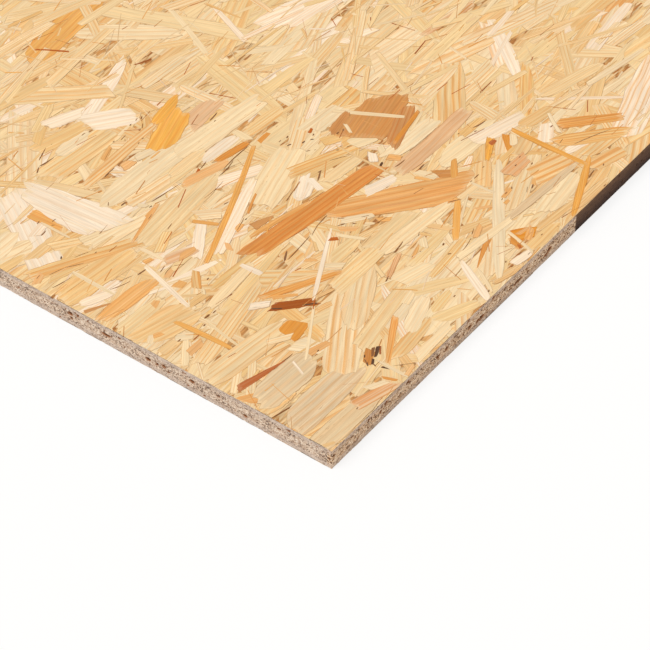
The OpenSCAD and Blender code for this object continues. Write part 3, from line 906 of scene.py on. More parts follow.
by_eye = placed_strands(np.random.default_rng(BY_EYE_SEED))
beside = np.all(upper["centre"] < near_corner[:2] + BY_EYE_REACH, axis=1)
beside &= (upper["tone"] > tone_value("tan")) & (upper["late"] < SPLINTERS_LATE)
upper["tone"][beside] = tone_value("straw")
upper = {name: np.concatenate([part, by_eye[name]]) for name, part in upper.items()}
order = np.argsort(upper["late"], kind="stable")
upper = {name: part[order] for name, part in upper.items()}
print(f"{len(by_eye['seed'])} strands and cracks placed by eye")

# %% [markdown]
# Strands that cross have to lie on each other and not in each other. A map of the face in small cells
# tells which strand was last to land on each spot. A strand that is last nowhere is buried, so it is
# dropped. Each of the rest goes one level above the highest strand under it. The levels are squeezed
# into the thickness that the strands may take up.

# %% Stacking
CELL = 2 * MM
SPOTS_PER_CELL = 1.5


def footprint(strands, index):
    """Cells of the face that one strand covers."""
    length, width, angle, taper = (strands[name][index] for name in ("length", "width", "angle", "taper"))
    along = np.linspace(-0.5, 0.5, int(SPOTS_PER_CELL * length / CELL) + 2)[:, None, None]
    across = np.linspace(-0.5, 0.5, int(SPOTS_PER_CELL * width / CELL) + 2)[None, :, None]
    run = np.array([math.cos(angle), math.sin(angle)])
    side = np.array([-run[1], run[0]])
    shift_along = along * length * run
    shift_across = across * (1 - taper * (along + 0.5)) * width * side
    spots = strands["centre"][index] + shift_along + shift_across
    spots = spots[np.all(np.abs(spots) <= half_sheet, axis=-1)]
    cells = np.rint((spots + half_sheet) / CELL).astype(np.int32)
    return cells[:, 0], cells[:, 1]


def stack(strands):
    """Drop the strands that are buried and give the others their levels."""
    covered = [footprint(strands, index) for index in range(len(strands["seed"]))]
    last = np.full(np.ceil(2 * half_sheet / CELL).astype(int) + 2, -1)
    for index, cells in enumerate(covered):
        last[cells] = index
    kept = np.unique(last[last >= 0])
    ground = np.zeros_like(last)
    strands = {name: part[kept] for name, part in strands.items()}
    strands["level"] = np.zeros(len(kept), int)
    for place, index in enumerate(kept):
        strands["level"][place] = ground[covered[index]].max() + 1
        ground[covered[index]] = strands["level"][place]
    return strands


upper = stack(upper)
under = stack(under)
print(f"upper face {len(upper['seed'])} strands in {upper['level'].max()} levels, "
      f"underside {len(under['seed'])} in {under['level'].max()}")

# %% [markdown]
# The strands of a face go into long lanes, one mesh each, which keeps every mesh light. A lane starts as
# loose points with attributes, because attributes are how numbers made in Python reach a node tree.

# %% Points of a lane
LANES = 8
lane_width = sheet_width / LANES


def strand_points(name, strands):
    """A mesh of loose points that carry what the strand tree reads."""
    count = len(strands["seed"])
    centre = np.zeros((count, 3))
    centre[:, :2] = strands["centre"]
    run = np.stack([np.cos(strands["angle"]), np.sin(strands["angle"]), np.zeros(count)], 1)
    size = np.stack([strands["length"], strands["width"], strands["top"]], 1)
    form = np.stack([strands["taper"], strands["bow"], strands["seed"]], 1)
    mesh = bpy.data.meshes.new(name)
    mesh.vertices.add(count)
    mesh.vertices.foreach_set("co", centre.ravel())
    for label, values in (("centre", centre), ("run", run), ("size", size), ("form", form)):
        mesh.attributes.new(label, "FLOAT_VECTOR", "POINT").data.foreach_set("vector", values.ravel())
    for label in ("tone", "lines", "point"):
        mesh.attributes.new(label, "FLOAT", "POINT").data.foreach_set("value", strands[label])
    mesh.attributes.new("lid", "INT", "POINT").data.foreach_set("value", strands["lid"].astype(np.int32))
    return mesh


print(f"{LANES} lanes a face, {lane_width / MM:.1f} mm wide")

# %% [markdown]
# A modifier's inputs are set by the identifier of their socket. What the modifier makes is then turned
# into a plain mesh and the modifier is taken off, so that later steps see real faces.

# %% From modifier to plain mesh
def set_input(modifier, name, value):
    """Set a modifier's input by the identifier of the socket that has this name."""
    for item in modifier.node_group.interface.items_tree:
        if item.item_type == "SOCKET" and item.in_out == "INPUT" and item.name == name:
            modifier[item.identifier] = value


def plain_mesh(piece):
    """Turn what the modifiers of a piece make into its own mesh."""
    bpy.context.collection.objects.link(piece)
    bpy.context.view_layer.update()
    graph = bpy.context.evaluated_depsgraph_get()
    evaluated = piece.evaluated_get(graph)
    made = bpy.data.meshes.new_from_object(evaluated, preserve_all_data_layers=True, depsgraph=graph)
    piece.modifiers.clear()
    piece.data = made
    made.name = piece.name
    return piece


def vertex_values(mesh, label=None):
    """Vertex positions, or a vector attribute of the vertices, as an array of rows."""
    values = np.empty(3 * len(mesh.vertices), np.float32)
    if label:
        mesh.attributes[label].data.foreach_get("vector", values)
    else:
        mesh.vertices.foreach_get("co", values)
    return values.reshape(-1, 3)


# %% [markdown]
# A strand that crosses the border is drawn back to it, and faces that lay wholly outside are squeezed to
# nothing. They are taken out. The texture map of a lane is a plain view from above, cut into a few rows so
# that the long lane fits a square.

# %% Trimming a lane and its texture map
SMALLEST_FACE = 0.0001 * MM * MM
FOLDED_OVER = -0.05
MAP_ROWS = 3
MAP_MARGIN = 75 * MM
MAP_INSET = 0.001


def drop_squeezed(mesh):
    """Take out faces that the border squeezed to nothing or folded over."""
    trimmed = bmesh.new()
    trimmed.from_mesh(mesh)
    squeezed = [
        face for face in trimmed.faces
        if face.calc_area() < SMALLEST_FACE or face.normal.z < FOLDED_OVER
    ]
    bmesh.ops.delete(trimmed, geom=squeezed, context="FACES")
    trimmed.to_mesh(mesh)
    trimmed.free()


def map_from_above(mesh, lane_low):
    """Texture map of a lane: seen from above, each strand whole in the row of its centre."""
    row_length = sheet_length / MAP_ROWS
    row = np.clip((vertex_values(mesh, "centre")[:, 0] + sheet_length / 2) // row_length, 0, MAP_ROWS - 1)
    spot = vertex_values(mesh)
    from_left = spot[:, 0] + sheet_length / 2 - row * row_length + MAP_MARGIN
    row_height = lane_width + 2 * MAP_MARGIN
    from_low = spot[:, 1] - lane_low + MAP_MARGIN + row * row_height
    span = max(row_length + 2 * MAP_MARGIN, MAP_ROWS * row_height)
    flat = np.clip(np.stack([from_left, from_low], 1) / span, MAP_INSET, 1 - MAP_INSET)
    corner_of = np.empty(len(mesh.loops), np.int32)
    mesh.loops.foreach_get("vertex_index", corner_of)
    mesh.uv_layers.new(name="OFBake").data.foreach_set("uv", flat[corner_of].ravel())


print(f"texture map in {MAP_ROWS} rows")

# %% [markdown]
# Now the lanes can be laid, lowest strands first. The underside is built the same way and turned over,
# because half a turn, unlike a mirror, keeps every face pointing outwards.

# %% Lanes of strands
FOOT_SINK = 0.05 * MM
RAGGED_SIDE, RAGGED_END, SLANTED_END = 0.6, 2.2, 1.8
LEVEL_SPREAD = 0.9


def strand_lane(name, strands, lane_low, turned):
    """One lane of strands as a plain mesh."""
    lane = bpy.data.objects.new(name, strand_points(name + "_points", strands))
    modifier = lane.modifiers.new("strands", "NODES")
    modifier.node_group = strand_nodes
    inputs = {
        "Bevel": STRAND_BEVEL, "Foot": float(core_top - FOOT_SINK),
        "Half length": float(sheet_length / 2), "Half width": float(sheet_width / 2),
        "Ragged side": RAGGED_SIDE, "Ragged end": RAGGED_END, "Slanted end": SLANTED_END,
        "Finish": strand_finish,
    }
    for label, value in inputs.items():
        set_input(modifier, label, value)
    plain_mesh(lane)
    drop_squeezed(lane.data)
    map_from_above(lane.data, lane_low)
    for label in ("centre", "run", "form", "point", "lid"):
        lane.data.attributes.remove(lane.data.attributes[label])
    if turned:
        turned_over = vertex_values(lane.data) * (1, -1, -1) + (0, 0, sheet_thickness)
        lane.data.vertices.foreach_set("co", turned_over.ravel())
    return lane


def lay_face(label, strands, turned):
    """All lanes of one face."""
    # The seed sets strands of one level a hair apart, so that no two tops are flush.
    levels = strands["level"] - LEVEL_SPREAD * strands["seed"]
    strands["top"] = core_top + STRAND_RELIEF * levels / levels.max()
    lane_of = ((strands["centre"][:, 1] + sheet_width / 2) // lane_width).astype(int)
    lane_of = np.clip(lane_of, 0, LANES - 1)
    lowest_first = np.argsort(levels, kind="stable")
    lanes = []
    for number in range(LANES):
        picked = lowest_first[lane_of[lowest_first] == number]
        own = {key: part[picked] for key, part in strands.items()}
        lane_low = number * lane_width - sheet_width / 2
        lanes.append(strand_lane(f"{label}_strands_{number + 1}", own, lane_low, turned))
    return lanes


upper_lanes = lay_face("upper", upper, False)
under_lanes = lay_face("under", under, True)
for lane in (*upper_lanes, *under_lanes):
    lane.data.calc_loop_triangles()
    print(f"{lane.name}: {len(lane.data.loop_triangles)} triangles")

# %% [markdown]
# Under the strands lies the pressed core. It only shows in the small gaps between strands, as a bed of
# fines: dust, chips and short splinters pressed into a brown-gold felt, with painted shade in its crevices.

# %% Pressed fines
def pressed_fines():
    """Fine chips in a pressed bed: dull gold to brown, rough, with painted shade in the crevices."""
    material = bare_material("pressed_fines")
    tree = material.node_tree
    spot = add(tree, "ShaderNodeTexCoord").outputs["Object"]
    chip_at = add(tree, "ShaderNodeVectorMath", {0: spot, 1: (1 / (9 * MM), 1 / (1.6 * MM), 1 / (9 * MM))},
                  operation="MULTIPLY")
    chip = add(tree, "ShaderNodeTexVoronoi", {"Vector": chip_at, "Scale": 1.0}, feature="F1")
    hue = add(tree, "ShaderNodeSeparateColor", {0: chip.outputs["Color"]})
    colour = add(tree, "ShaderNodeValToRGB", {0: hue})
    steps = colour.color_ramp.elements
    steps[0].position, steps[0].color = 0.0, linear("#B4743E")
    steps[1].position, steps[1].color = 0.75, linear("#F0CF9E")
    steps.new(0.35).color = linear("#DFA868")
    # Painted shade: each chip gets darker towards its edges, where the crevices between chips lie. The same
    # value gives the bump its height.
    depth = add(tree, "ShaderNodeMapRange", {0: chip.outputs["Distance"], 1: 0.25, 2: 0.8, 3: 1.0, 4: 0.68})
    shaded = add(tree, "ShaderNodeHueSaturation", {"Color": colour, "Value": depth})
    bump = add(tree, "ShaderNodeBump", {"Strength": 0.5, "Distance": 0.3 * MM, "Height": depth})
    surface = add(tree, "ShaderNodeBsdfPrincipled", {
        "Base Color": shaded, "Roughness": 0.8, "Specular IOR Level": 0.2, "Normal": bump,
    })
    add(tree, "ShaderNodeOutputMaterial", {0: surface})
    return material


fines_finish = pressed_fines()
print(f"{fines_finish.name}: {len(fines_finish.node_tree.nodes)} nodes")

# %% [markdown]
# The sawn edge shows the strands end on: a fine, grey-beige crumb with brown specks, tighter near the two
# faces and coarser with small torn pits in the middle. The crumb is finer than a mesh should carry, so it
# is colour and bump. A Voronoi texture gives every crumb a shade of its own.

# %% Crumbs
MIDDLE_SHADES = ((0.0, "#452B1B"), (0.14, "#866044"), (0.28, "#C6A689"), (0.7, "#DDC1A5"), (0.92, "#F5E3CC"))
OUTER_SHADES = ((0.0, "#775C4B"), (0.13, "#A38C7C"), (0.27, "#C5B1A2"), (0.7, "#D3C0B0"), (0.95, "#E6D5C5"))


def crumb_colours(tree, spot, tight):
    """Colour of each crumb, and the shade that it was picked by."""
    # Crumbs about 1.1 mm long and 0.7 mm high, each with its own shade.
    crumb_at = add(tree, "ShaderNodeVectorMath",
                   {0: spot, 1: (1 / (1.1 * MM), 1 / (1.1 * MM), 1 / (0.7 * MM))}, operation="MULTIPLY")
    crumb = add(tree, "ShaderNodeTexVoronoi", {"Vector": crumb_at, "Scale": 1.0}, feature="F1")
    shade = add(tree, "ShaderNodeSeparateColor", {0: crumb.outputs["Color"]}).outputs[0]
    # Dark crumbs come in clusters about a centimetre long.
    cluster_at = add(tree, "ShaderNodeVectorMath",
                     {0: spot, 1: (1 / (10 * MM), 1 / (10 * MM), 1 / (3.5 * MM))}, operation="MULTIPLY")
    cluster = add(tree, "ShaderNodeTexNoise", {"Vector": cluster_at, "Scale": 1.0, "Detail": 2.0})
    cluster_shift = add(tree, "ShaderNodeMapRange", {0: cluster, 1: 0.3, 2: 0.7, 3: 0.22, 4: -0.22})
    shade = add(tree, "ShaderNodeMath", {0: shade, 1: cluster_shift}, operation="ADD")
    middle = add(tree, "ShaderNodeValToRGB", {0: shade})
    outer = add(tree, "ShaderNodeValToRGB", {0: shade})
    for ramp, stops in ((middle, MIDDLE_SHADES), (outer, OUTER_SHADES)):
        while len(ramp.color_ramp.elements) < len(stops):
            ramp.color_ramp.elements.new(1.0)
        for step, (position, colour) in zip(ramp.color_ramp.elements, stops):
            step.position, step.color = position, linear(colour)
    crumbs = add(tree, "ShaderNodeMix", {0: tight, 6: middle, 7: outer}, data_type="RGBA").outputs[2]
    return crumbs, shade


print(f"{len(MIDDLE_SHADES)} steps of shade in the middle, {len(OUTER_SHADES)} near the faces")

# %% [markdown]
# The layers of strands show on the edge as faint level streaks. The long sides and the short ones also
# differ. Painted light makes the long sides warmer, as warm bounce light would, and a little lighter, and
# the short sides duller and a little darker. The short sides are also more even in colour.

# %% Layers, and painted light on the sides
# How far in from a side a spot still counts as part of it.
EDGE_BAND = 4 * MM


def layered_crumbs(tree, spot, crumbs, tight):
    """Crumbs with the streaks of the layers and the painted light of their side, and the pattern of the
    streaks.
    """
    _, spot_y, _ = add(tree, "ShaderNodeSeparateXYZ", {0: spot}).outputs
    # Streaks about 16 mm long and 0.7 mm high.
    streak_at = add(tree, "ShaderNodeVectorMath",
                    {0: spot, 1: (1 / (16 * MM), 1 / (16 * MM), 1 / (0.7 * MM))}, operation="MULTIPLY")
    streak = add(tree, "ShaderNodeTexNoise", {"Vector": streak_at, "Scale": 1.0, "Detail": 2.0})
    streak_value = add(tree, "ShaderNodeMapRange", {0: streak, 1: 0.3, 2: 0.7, 3: 0.86, 4: 1.08})

    off_axis = add(tree, "ShaderNodeMath", {0: spot_y}, operation="ABSOLUTE")
    long_side = add(tree, "ShaderNodeMath", {0: off_axis, 1: float(sheet_width / 2 - EDGE_BAND)},
                    operation="GREATER_THAN")
    # Painted light: the long sides get a warmer tint, as from warm bounce light, and a little more lightness
    # than the short sides.
    painted_side_warmth = add(tree, "ShaderNodeMapRange", {0: long_side, 3: 0.86, 4: 1.08})
    # The wood near the faces is more even in colour too.
    evenness = add(tree, "ShaderNodeMapRange", {0: long_side, 3: 0.2, 4: 0.0})
    evenness = add(tree, "ShaderNodeMath", {0: tight, 1: 0.2, 2: evenness}, operation="MULTIPLY_ADD")
    crumbs = add(tree, "ShaderNodeMix", {0: evenness, 6: crumbs, 7: linear("#C9B09B")},
                 data_type="RGBA").outputs[2]
    painted_side_light_and_streaks = add(tree, "ShaderNodeMapRange", {0: long_side, 3: 0.975, 4: 1.03})
    painted_side_light_and_streaks = add(tree, "ShaderNodeMath", {0: painted_side_light_and_streaks, 1: streak_value}, operation="MULTIPLY")
    streaked = add(tree, "ShaderNodeHueSaturation",
                   {"Color": crumbs, "Saturation": painted_side_warmth, "Value": painted_side_light_and_streaks})
    return streaked, streak


print(f"an edge reaches {EDGE_BAND / MM:.0f} mm into the sheet")

# %% [markdown]
# A dark stretch runs along the long edge some way from the corner. Object coordinates tell where a
# spot lies on the sheet, so it needs no picture: it is a range along the edge.

# %% Dark stretch
DARK_STRETCH_START = 295 * MM
DARK_STRETCH_LENGTH = 150 * MM
DARK_STRETCH_BLUR = 0.8 * MM
DARK_STRETCH_FADE = 12 * MM


def dark_stretch(tree, spot, streak, shade):
    """Where the dark stretch lies, from 0 to 1, and its colour."""
    spot_x, spot_y, spot_z = add(tree, "ShaderNodeSeparateXYZ", {0: spot}).outputs
    # It starts sharply, on the front edge only, fills the crumb and is darkest at the bottom.
    from_corner = add(tree, "ShaderNodeMath", {0: spot_x, 1: float(near_corner[0])}, operation="SUBTRACT")
    after_start = add(tree, "ShaderNodeMapRange",
                      {0: from_corner, 1: DARK_STRETCH_START, 2: DARK_STRETCH_START + DARK_STRETCH_BLUR})
    dark_stretch_end = DARK_STRETCH_START + DARK_STRETCH_LENGTH
    before_end = add(tree, "ShaderNodeMapRange",
                     {0: from_corner, 1: dark_stretch_end, 2: dark_stretch_end + DARK_STRETCH_FADE, 3: 1.0, 4: 0.0})
    front = add(tree, "ShaderNodeMath", {0: spot_y, 1: float(near_corner[1] + EDGE_BAND)},
                operation="LESS_THAN")
    in_dark_stretch = add(tree, "ShaderNodeMath", {0: after_start, 1: before_end}, operation="MULTIPLY")
    in_dark_stretch = add(tree, "ShaderNodeMath", {0: in_dark_stretch, 1: front}, operation="MULTIPLY")
    height_share = add(tree, "ShaderNodeMapRange", {0: spot_z, 1: 0.0, 2: float(sheet_thickness)})
    dark_stretch_tone = add(tree, "ShaderNodeMix", {0: 0.6, 2: height_share, 3: streak}, data_type="FLOAT")
    dark_stretch_tone = add(tree, "ShaderNodeMix", {0: 0.12, 2: dark_stretch_tone, 3: shade}, data_type="FLOAT")
    dark_stretch_colour = add(tree, "ShaderNodeValToRGB", {0: dark_stretch_tone})
    steps = dark_stretch_colour.color_ramp.elements
    steps[0].position, steps[0].color = 0.3, linear("#301F1C")
    steps[1].position, steps[1].color = 0.7, linear("#70533E")
    return in_dark_stretch, dark_stretch_colour


print(f"darkening from {DARK_STRETCH_START / MM:.0f} mm along the edge, {DARK_STRETCH_LENGTH / MM:.0f} mm long")

# %% [markdown]
# The finish of the edge puts crumbs, streaks, pits and the dark stretch over each other. A saw cut across
# fibres is dull, so it is rougher than the faces.

# %% Sawn crumb
def sawn_crumb():
    """Raw saw cut through pressed strands: dull, speckled, with painted shade in the pits."""
    material = bare_material("sawn_crumb")
    tree = material.node_tree
    spot = add(tree, "ShaderNodeTexCoord").outputs["Object"]
    _, _, spot_z = add(tree, "ShaderNodeSeparateXYZ", {0: spot}).outputs
    pit = add(tree, "ShaderNodeAttribute", attribute_name="pit").outputs["Fac"]

    # 0 in the middle of the thickness, 1 near the faces.
    off_middle = add(tree, "ShaderNodeMath", {0: spot_z, 1: float(sheet_thickness / 2)}, operation="SUBTRACT")
    off_middle = add(tree, "ShaderNodeMath", {0: off_middle}, operation="ABSOLUTE")
    tight = add(tree, "ShaderNodeMapRange", {0: off_middle, 1: 3.5 * MM, 2: 6.0 * MM})
    crumbs, shade = crumb_colours(tree, spot, tight)
    streaked, streak = layered_crumbs(tree, spot, crumbs, tight)

    # A pit is red-brown at its rim, and painted shade takes it to near black at its bottom.
    pit_rim = add(tree, "ShaderNodeMapRange", {0: pit, 1: 0.0, 2: 0.45})
    pit_floor_shade = add(tree, "ShaderNodeMapRange", {0: pit, 1: 0.4, 2: 0.9})
    torn = add(tree, "ShaderNodeMix", {0: pit_rim, 6: streaked, 7: linear("#A06A44")},
               data_type="RGBA").outputs[2]
    torn = add(tree, "ShaderNodeMix", {0: pit_floor_shade, 6: torn, 7: linear("#382214")},
               data_type="RGBA").outputs[2]

    in_dark_stretch, dark_stretch_colour = dark_stretch(tree, spot, streak, shade)
    dressed = add(tree, "ShaderNodeMix", {0: in_dark_stretch, 6: torn, 7: dark_stretch_colour}, data_type="RGBA").outputs[2]

    roughness_left = add(tree, "ShaderNodeMapRange", {0: in_dark_stretch, 3: 0.6, 4: 0.25})
    bump = add(tree, "ShaderNodeBump", {"Strength": roughness_left, "Distance": 0.35 * MM, "Height": shade})
    surface = add(tree, "ShaderNodeBsdfPrincipled", {
        "Base Color": dressed, "Roughness": 0.85, "Specular IOR Level": 0.2, "Normal": bump,
    })
    add(tree, "ShaderNodeOutputMaterial", {0: surface})
    return material


crumb_finish = sawn_crumb()
print(f"{crumb_finish.name}: {len(crumb_finish.node_tree.nodes)} nodes")

# %% [markdown]
# The rim is a ring around the sheet. Its outer wall is a fine grid: stations along the edges and rows from
# face to face. Stations lie closer together near the corner that the camera sees, because a grid that fine
# all round would be wasted.

# %% Stations along the edges
STATION_NEAR = 0.9 * MM
STATION_FAR = 2.4 * MM
CORNER_ARRIS = 0.8 * MM


def stations(start, end, near_start, near_end):
    """Places along one side, close together where an end is near the camera."""
    gap = np.linalg.norm(end - start)
    close = np.arange(0, NEAR_REACH, STATION_NEAR)
    places = np.linspace(0, gap, int(gap / STATION_FAR))
    if near_start:
        places = np.concatenate([close, places[places > NEAR_REACH]])
    if near_end:
        places = np.concatenate([places[places < gap - NEAR_REACH], gap - close[::-1]])
    return start + places[:, None] * (end - start) / gap


def edge_loop():
    """Stations all round the sheet, with each corner cut off by a small arris."""
    corners = [np.array(corner) * half_sheet for corner in ((-1, -1), (1, -1), (1, 1), (-1, 1))]
    sides = []
    for index, start in enumerate(corners):
        end = corners[(index + 1) % 4]
        run = (end - start) / np.linalg.norm(end - start)
        sides.append(stations(start + run * CORNER_ARRIS, end - run * CORNER_ARRIS, index == 0, index == 3))
    return np.concatenate(sides)


loop = edge_loop()
print(f"{len(loop)} stations round the sheet")

# %% [markdown]
# The saw tears small pits into the edge. Painted pits would look flat in a low light, so they are real
# hollows. A Geometry Nodes tree sinks them into the wall by a noise pattern and keeps how deep each spot
# went, and the finish above paints shade into it by that depth.

# %% Tree that sinks the pits
def rim_tree():
    """Sink pits into the outer wall of the rim."""
    tree = bpy.data.node_groups.new("sawn_pits", "GeometryNodeTree")
    tree.interface.new_socket("Rim", in_out="INPUT", socket_type="NodeSocketGeometry")
    for name in ("Pit length", "Pit height", "Pit depth", "Crumb depth"):
        tree.interface.new_socket(name, in_out="INPUT", socket_type="NodeSocketFloat")
    tree.interface.new_socket("Rim", in_out="OUTPUT", socket_type="NodeSocketGeometry")
    given = add(tree, "NodeGroupInput").outputs
    wall = add(tree, "GeometryNodeInputNamedAttribute", {"Name": "wall"}, data_type="FLOAT").outputs[0]
    inward = add(tree, "GeometryNodeInputNamedAttribute", {"Name": "inward"},
                 data_type="FLOAT_VECTOR").outputs[0]
    grain = add(tree, "ShaderNodeCombineXYZ",
                {0: given["Pit length"], 1: given["Pit length"], 2: given["Pit height"]})
    spot = add(tree, "GeometryNodeInputPosition")
    pit_at = add(tree, "ShaderNodeVectorMath", {0: spot, 1: grain}, operation="DIVIDE")
    pits = add(tree, "ShaderNodeTexNoise", {"Vector": pit_at, "Scale": 1.0, "Detail": 2.0, "Roughness": 0.55})
    deep = add(tree, "ShaderNodeMapRange", {0: pits, 1: 0.665, 2: 0.73}, interpolation_type="SMOOTHSTEP")
    torn = add(tree, "GeometryNodeInputNamedAttribute", {"Name": "torn"}, data_type="FLOAT").outputs[0]
    deep = add(tree, "ShaderNodeMath", {0: deep, 1: torn}, operation="MAXIMUM")
    deep = add(tree, "ShaderNodeMath", {0: deep, 1: wall}, operation="MULTIPLY")
    # Crumbs are a third of the size of pits.
    crumb_at = add(tree, "ShaderNodeVectorMath", {0: pit_at, "Scale": 3.0}, operation="SCALE")
    crumbs = add(tree, "ShaderNodeTexNoise", {"Vector": crumb_at, "Scale": 1.0, "Detail": 1.0})
    crumb_sink = add(tree, "ShaderNodeMath", {0: crumbs, 1: given["Crumb depth"]}, operation="MULTIPLY")
    crumb_sink = add(tree, "ShaderNodeMath", {0: crumb_sink, 1: wall}, operation="MULTIPLY")
    sink = add(tree, "ShaderNodeMath", {0: deep, 1: given["Pit depth"], 2: crumb_sink},
               operation="MULTIPLY_ADD")
    shift = add(tree, "ShaderNodeVectorMath", {0: inward, "Scale": sink}, operation="SCALE")
    marked = add(tree, "GeometryNodeStoreNamedAttribute",
                 {"Geometry": given["Rim"], "Name": "pit", "Value": deep},
                 data_type="FLOAT", domain="POINT")
    moved = add(tree, "GeometryNodeSetPosition", {"Geometry": marked, "Offset": shift})
    add(tree, "NodeGroupOutput", {0: moved})
    return tree


pit_nodes = rim_tree()
print(f"{pit_nodes.name}: {len(pit_nodes.nodes)} nodes")

# %% [markdown]
# The pits that stand out near the corner are placed one by one, as the strands are. The tree takes
# whichever is deeper at a spot, the noise or one of these.

# %% Pits, listed
EDGE_PITS = {
    # Place along the edge from the corner, height, length and tallness, in mm
    "front": (
        (55, 9.5, 3, 2), (61, 13, 3, 2), (86, 12.5, 3, 2), (122, 9, 4, 2), (132, 8.5, 4, 2.4),
        (160, 7.5, 4, 2.6), (170, 6, 4, 2), (175, 6, 5, 2.6), (158, 15, 3, 2), (189, 14, 3, 2),
        (221, 6.5, 9, 2), (257, 6, 5, 2), (261, 8.2, 5, 2.6),
    ),
    "left": (
        (73, 5, 3, 2), (119, 10, 4, 2), (144, 9.5, 3, 2), (150, 8, 2, 2), (158, 8, 4, 2.4), (196, 9.2, 7, 2),
        (222, 12.5, 2, 2), (229, 10.6, 4, 2.4), (228, 6.5, 2, 2),
    ),
}
PIT_REACH, PIT_DEEPEST = 1.5, 0.85


def torn_spots(loop, heights):
    """How far each spot of the wall is torn out by the pits placed by eye, from 0 to 1."""
    torn = np.zeros((len(loop), len(heights)))
    for edge, axis in (("front", 0), ("left", 1)):
        along = (loop[:, axis] - near_corner[axis]) / MM
        on_edge = loop[:, 1 - axis] < near_corner[1 - axis] + MM
        for place, height, length, tallness in EDGE_PITS[edge]:
            off = np.hypot((along[:, None] - place) * 2 / length, (heights / MM - height) * 2 / tallness)
            torn = np.maximum(torn, on_edge[:, None] * np.clip(PIT_REACH - off, 0, PIT_DEEPEST))
    return torn


print(f"{sum(map(len, EDGE_PITS.values()))} pits placed by eye")

# %% [markdown]
# The ring is closed: the wall outside, and two narrow flanges and an inner wall that the strands and the
# core hide. Its points carry which way is inwards, how far the wall may sink and the listed pits.

# %% The wall as a mesh
RIM_DEPTH = 5 * MM
RIM_ROWS = 16
# Pits are at their full depth in the middle of the thickness and shallow near the faces.
SINK_AT_FACES, SINK_GAIN = 0.35, 1.3


def rim_mesh():
    """Ring with a fine outer wall all round the sheet, from the lower strands to the upper ones."""
    inner = np.clip(loop, RIM_DEPTH - half_sheet, half_sheet - RIM_DEPTH)
    rows = np.linspace(STRAND_RELIEF, core_top, RIM_ROWS)
    count = len(loop)
    rings = [np.column_stack([loop, np.full(count, height)]) for height in rows]
    rings += [np.column_stack([inner, np.full(count, height)]) for height in (core_top, STRAND_RELIEF)]
    points = np.stack(rings, 1)
    ring_count = len(rings)
    numbers = np.meshgrid(np.arange(count), np.arange(ring_count), indexing="ij")
    station, ring = (part.ravel() for part in numbers)
    after, above = (station + 1) % count, (ring + 1) % ring_count
    quads = np.stack([station * ring_count + ring, after * ring_count + ring,
                      after * ring_count + above, station * ring_count + above], 1)
    mesh = bpy.data.meshes.new("sawn_rim")
    mesh.from_pydata(points.reshape(-1, 3), [], quads.tolist())

    inward = np.zeros_like(points)
    inward[..., :2] = (inner - loop)[:, None, :] / RIM_DEPTH
    wall = np.zeros((count, ring_count))
    wall[:, 1:RIM_ROWS - 1] = 1.0
    middle = 1 - np.abs(rows / sheet_thickness * 2 - 1)
    wall[:, :RIM_ROWS] *= np.clip(SINK_AT_FACES + SINK_GAIN * middle, 0, 1)
    torn = np.zeros((count, ring_count))
    torn[:, :RIM_ROWS] = torn_spots(loop, rows)
    mesh.attributes.new("inward", "FLOAT_VECTOR", "POINT").data.foreach_set("vector", inward.ravel())
    for label, values in (("wall", wall), ("torn", torn)):
        mesh.attributes.new(label, "FLOAT", "POINT").data.foreach_set("value", values.ravel())
    mesh.materials.append(crumb_finish)
    mesh.materials.append(fines_finish)
    mesh.polygons.foreach_set("material_index", (ring >= RIM_ROWS - 1).astype(np.int32))
    return mesh


# %% [markdown]
# The tree now sinks the pits. At each corner of the sheet several points of the inner ring fall on one
# spot, so the ring is welded before its helper attributes are taken off.

# %% The sawn rim
PIT_SIZES = {
    "Pit length": 5.5 * MM, "Pit height": 1.9 * MM, "Pit depth": 1.6 * MM, "Crumb depth": 0.3 * MM,
}
WELD_DISTANCE = 0.001 * MM


def sawn_rim():
    """The rim as a plain mesh, with its pits."""
    rim = bpy.data.objects.new("sawn_rim", rim_mesh())
    modifier = rim.modifiers.new("pits", "NODES")
    modifier.node_group = pit_nodes
    for label, value in PIT_SIZES.items():
        set_input(modifier, label, value)
    plain_mesh(rim)
    welded = bmesh.new()
    welded.from_mesh(rim.data)
    bmesh.ops.remove_doubles(welded, verts=welded.verts, dist=WELD_DISTANCE)
    welded.to_mesh(rim.data)
    welded.free()
    for label in ("inward", "wall", "torn"):
        rim.data.attributes.remove(rim.data.attributes[label])
    return rim


rim = sawn_rim()
print(f"{rim.name}: {len(rim.data.polygons)} faces")

# %% [markdown]
# The core fills the ring. It is a plain slab, because only specks of it show between the strands. It stands
# for the CAD solid of the sheet, which the strands and the rim now cover.

# %% The pressed core
def pressed_core():
    """Slab inside the rim, as high as the ground that the strands lie on."""
    half_core = half_sheet - RIM_DEPTH
    points = [(x * half_core[0], y * half_core[1], z) for z in (STRAND_RELIEF, core_top)
              for x, y in ((-1, -1), (1, -1), (1, 1), (-1, 1))]
    faces = [(3, 2, 1, 0), (4, 5, 6, 7)] + [(k, (k + 1) % 4, (k + 1) % 4 + 4, k + 4) for k in range(4)]
    mesh = bpy.data.meshes.new("pressed_core")
    mesh.from_pydata(points, [], faces)
    mesh.materials.append(fines_finish)
    core = bpy.data.objects.new("pressed_core", mesh)
    bpy.context.collection.objects.link(core)
    return core


core = pressed_core()
print(f"{core.name}: {len(core.data.polygons)} faces")

# %% [markdown]
# Studio. A white sky would light the sheet a little cold, so its light is warm, while what is seen of it
# directly is plain white. The Light Path node tells the two kinds of ray apart.

# %% Sky
SKY_STRENGTH = 0.57
SKY_COLOUR = (1.0, 0.91, 0.81, 1.0)
WHITE = (1.0, 1.0, 1.0, 1.0)


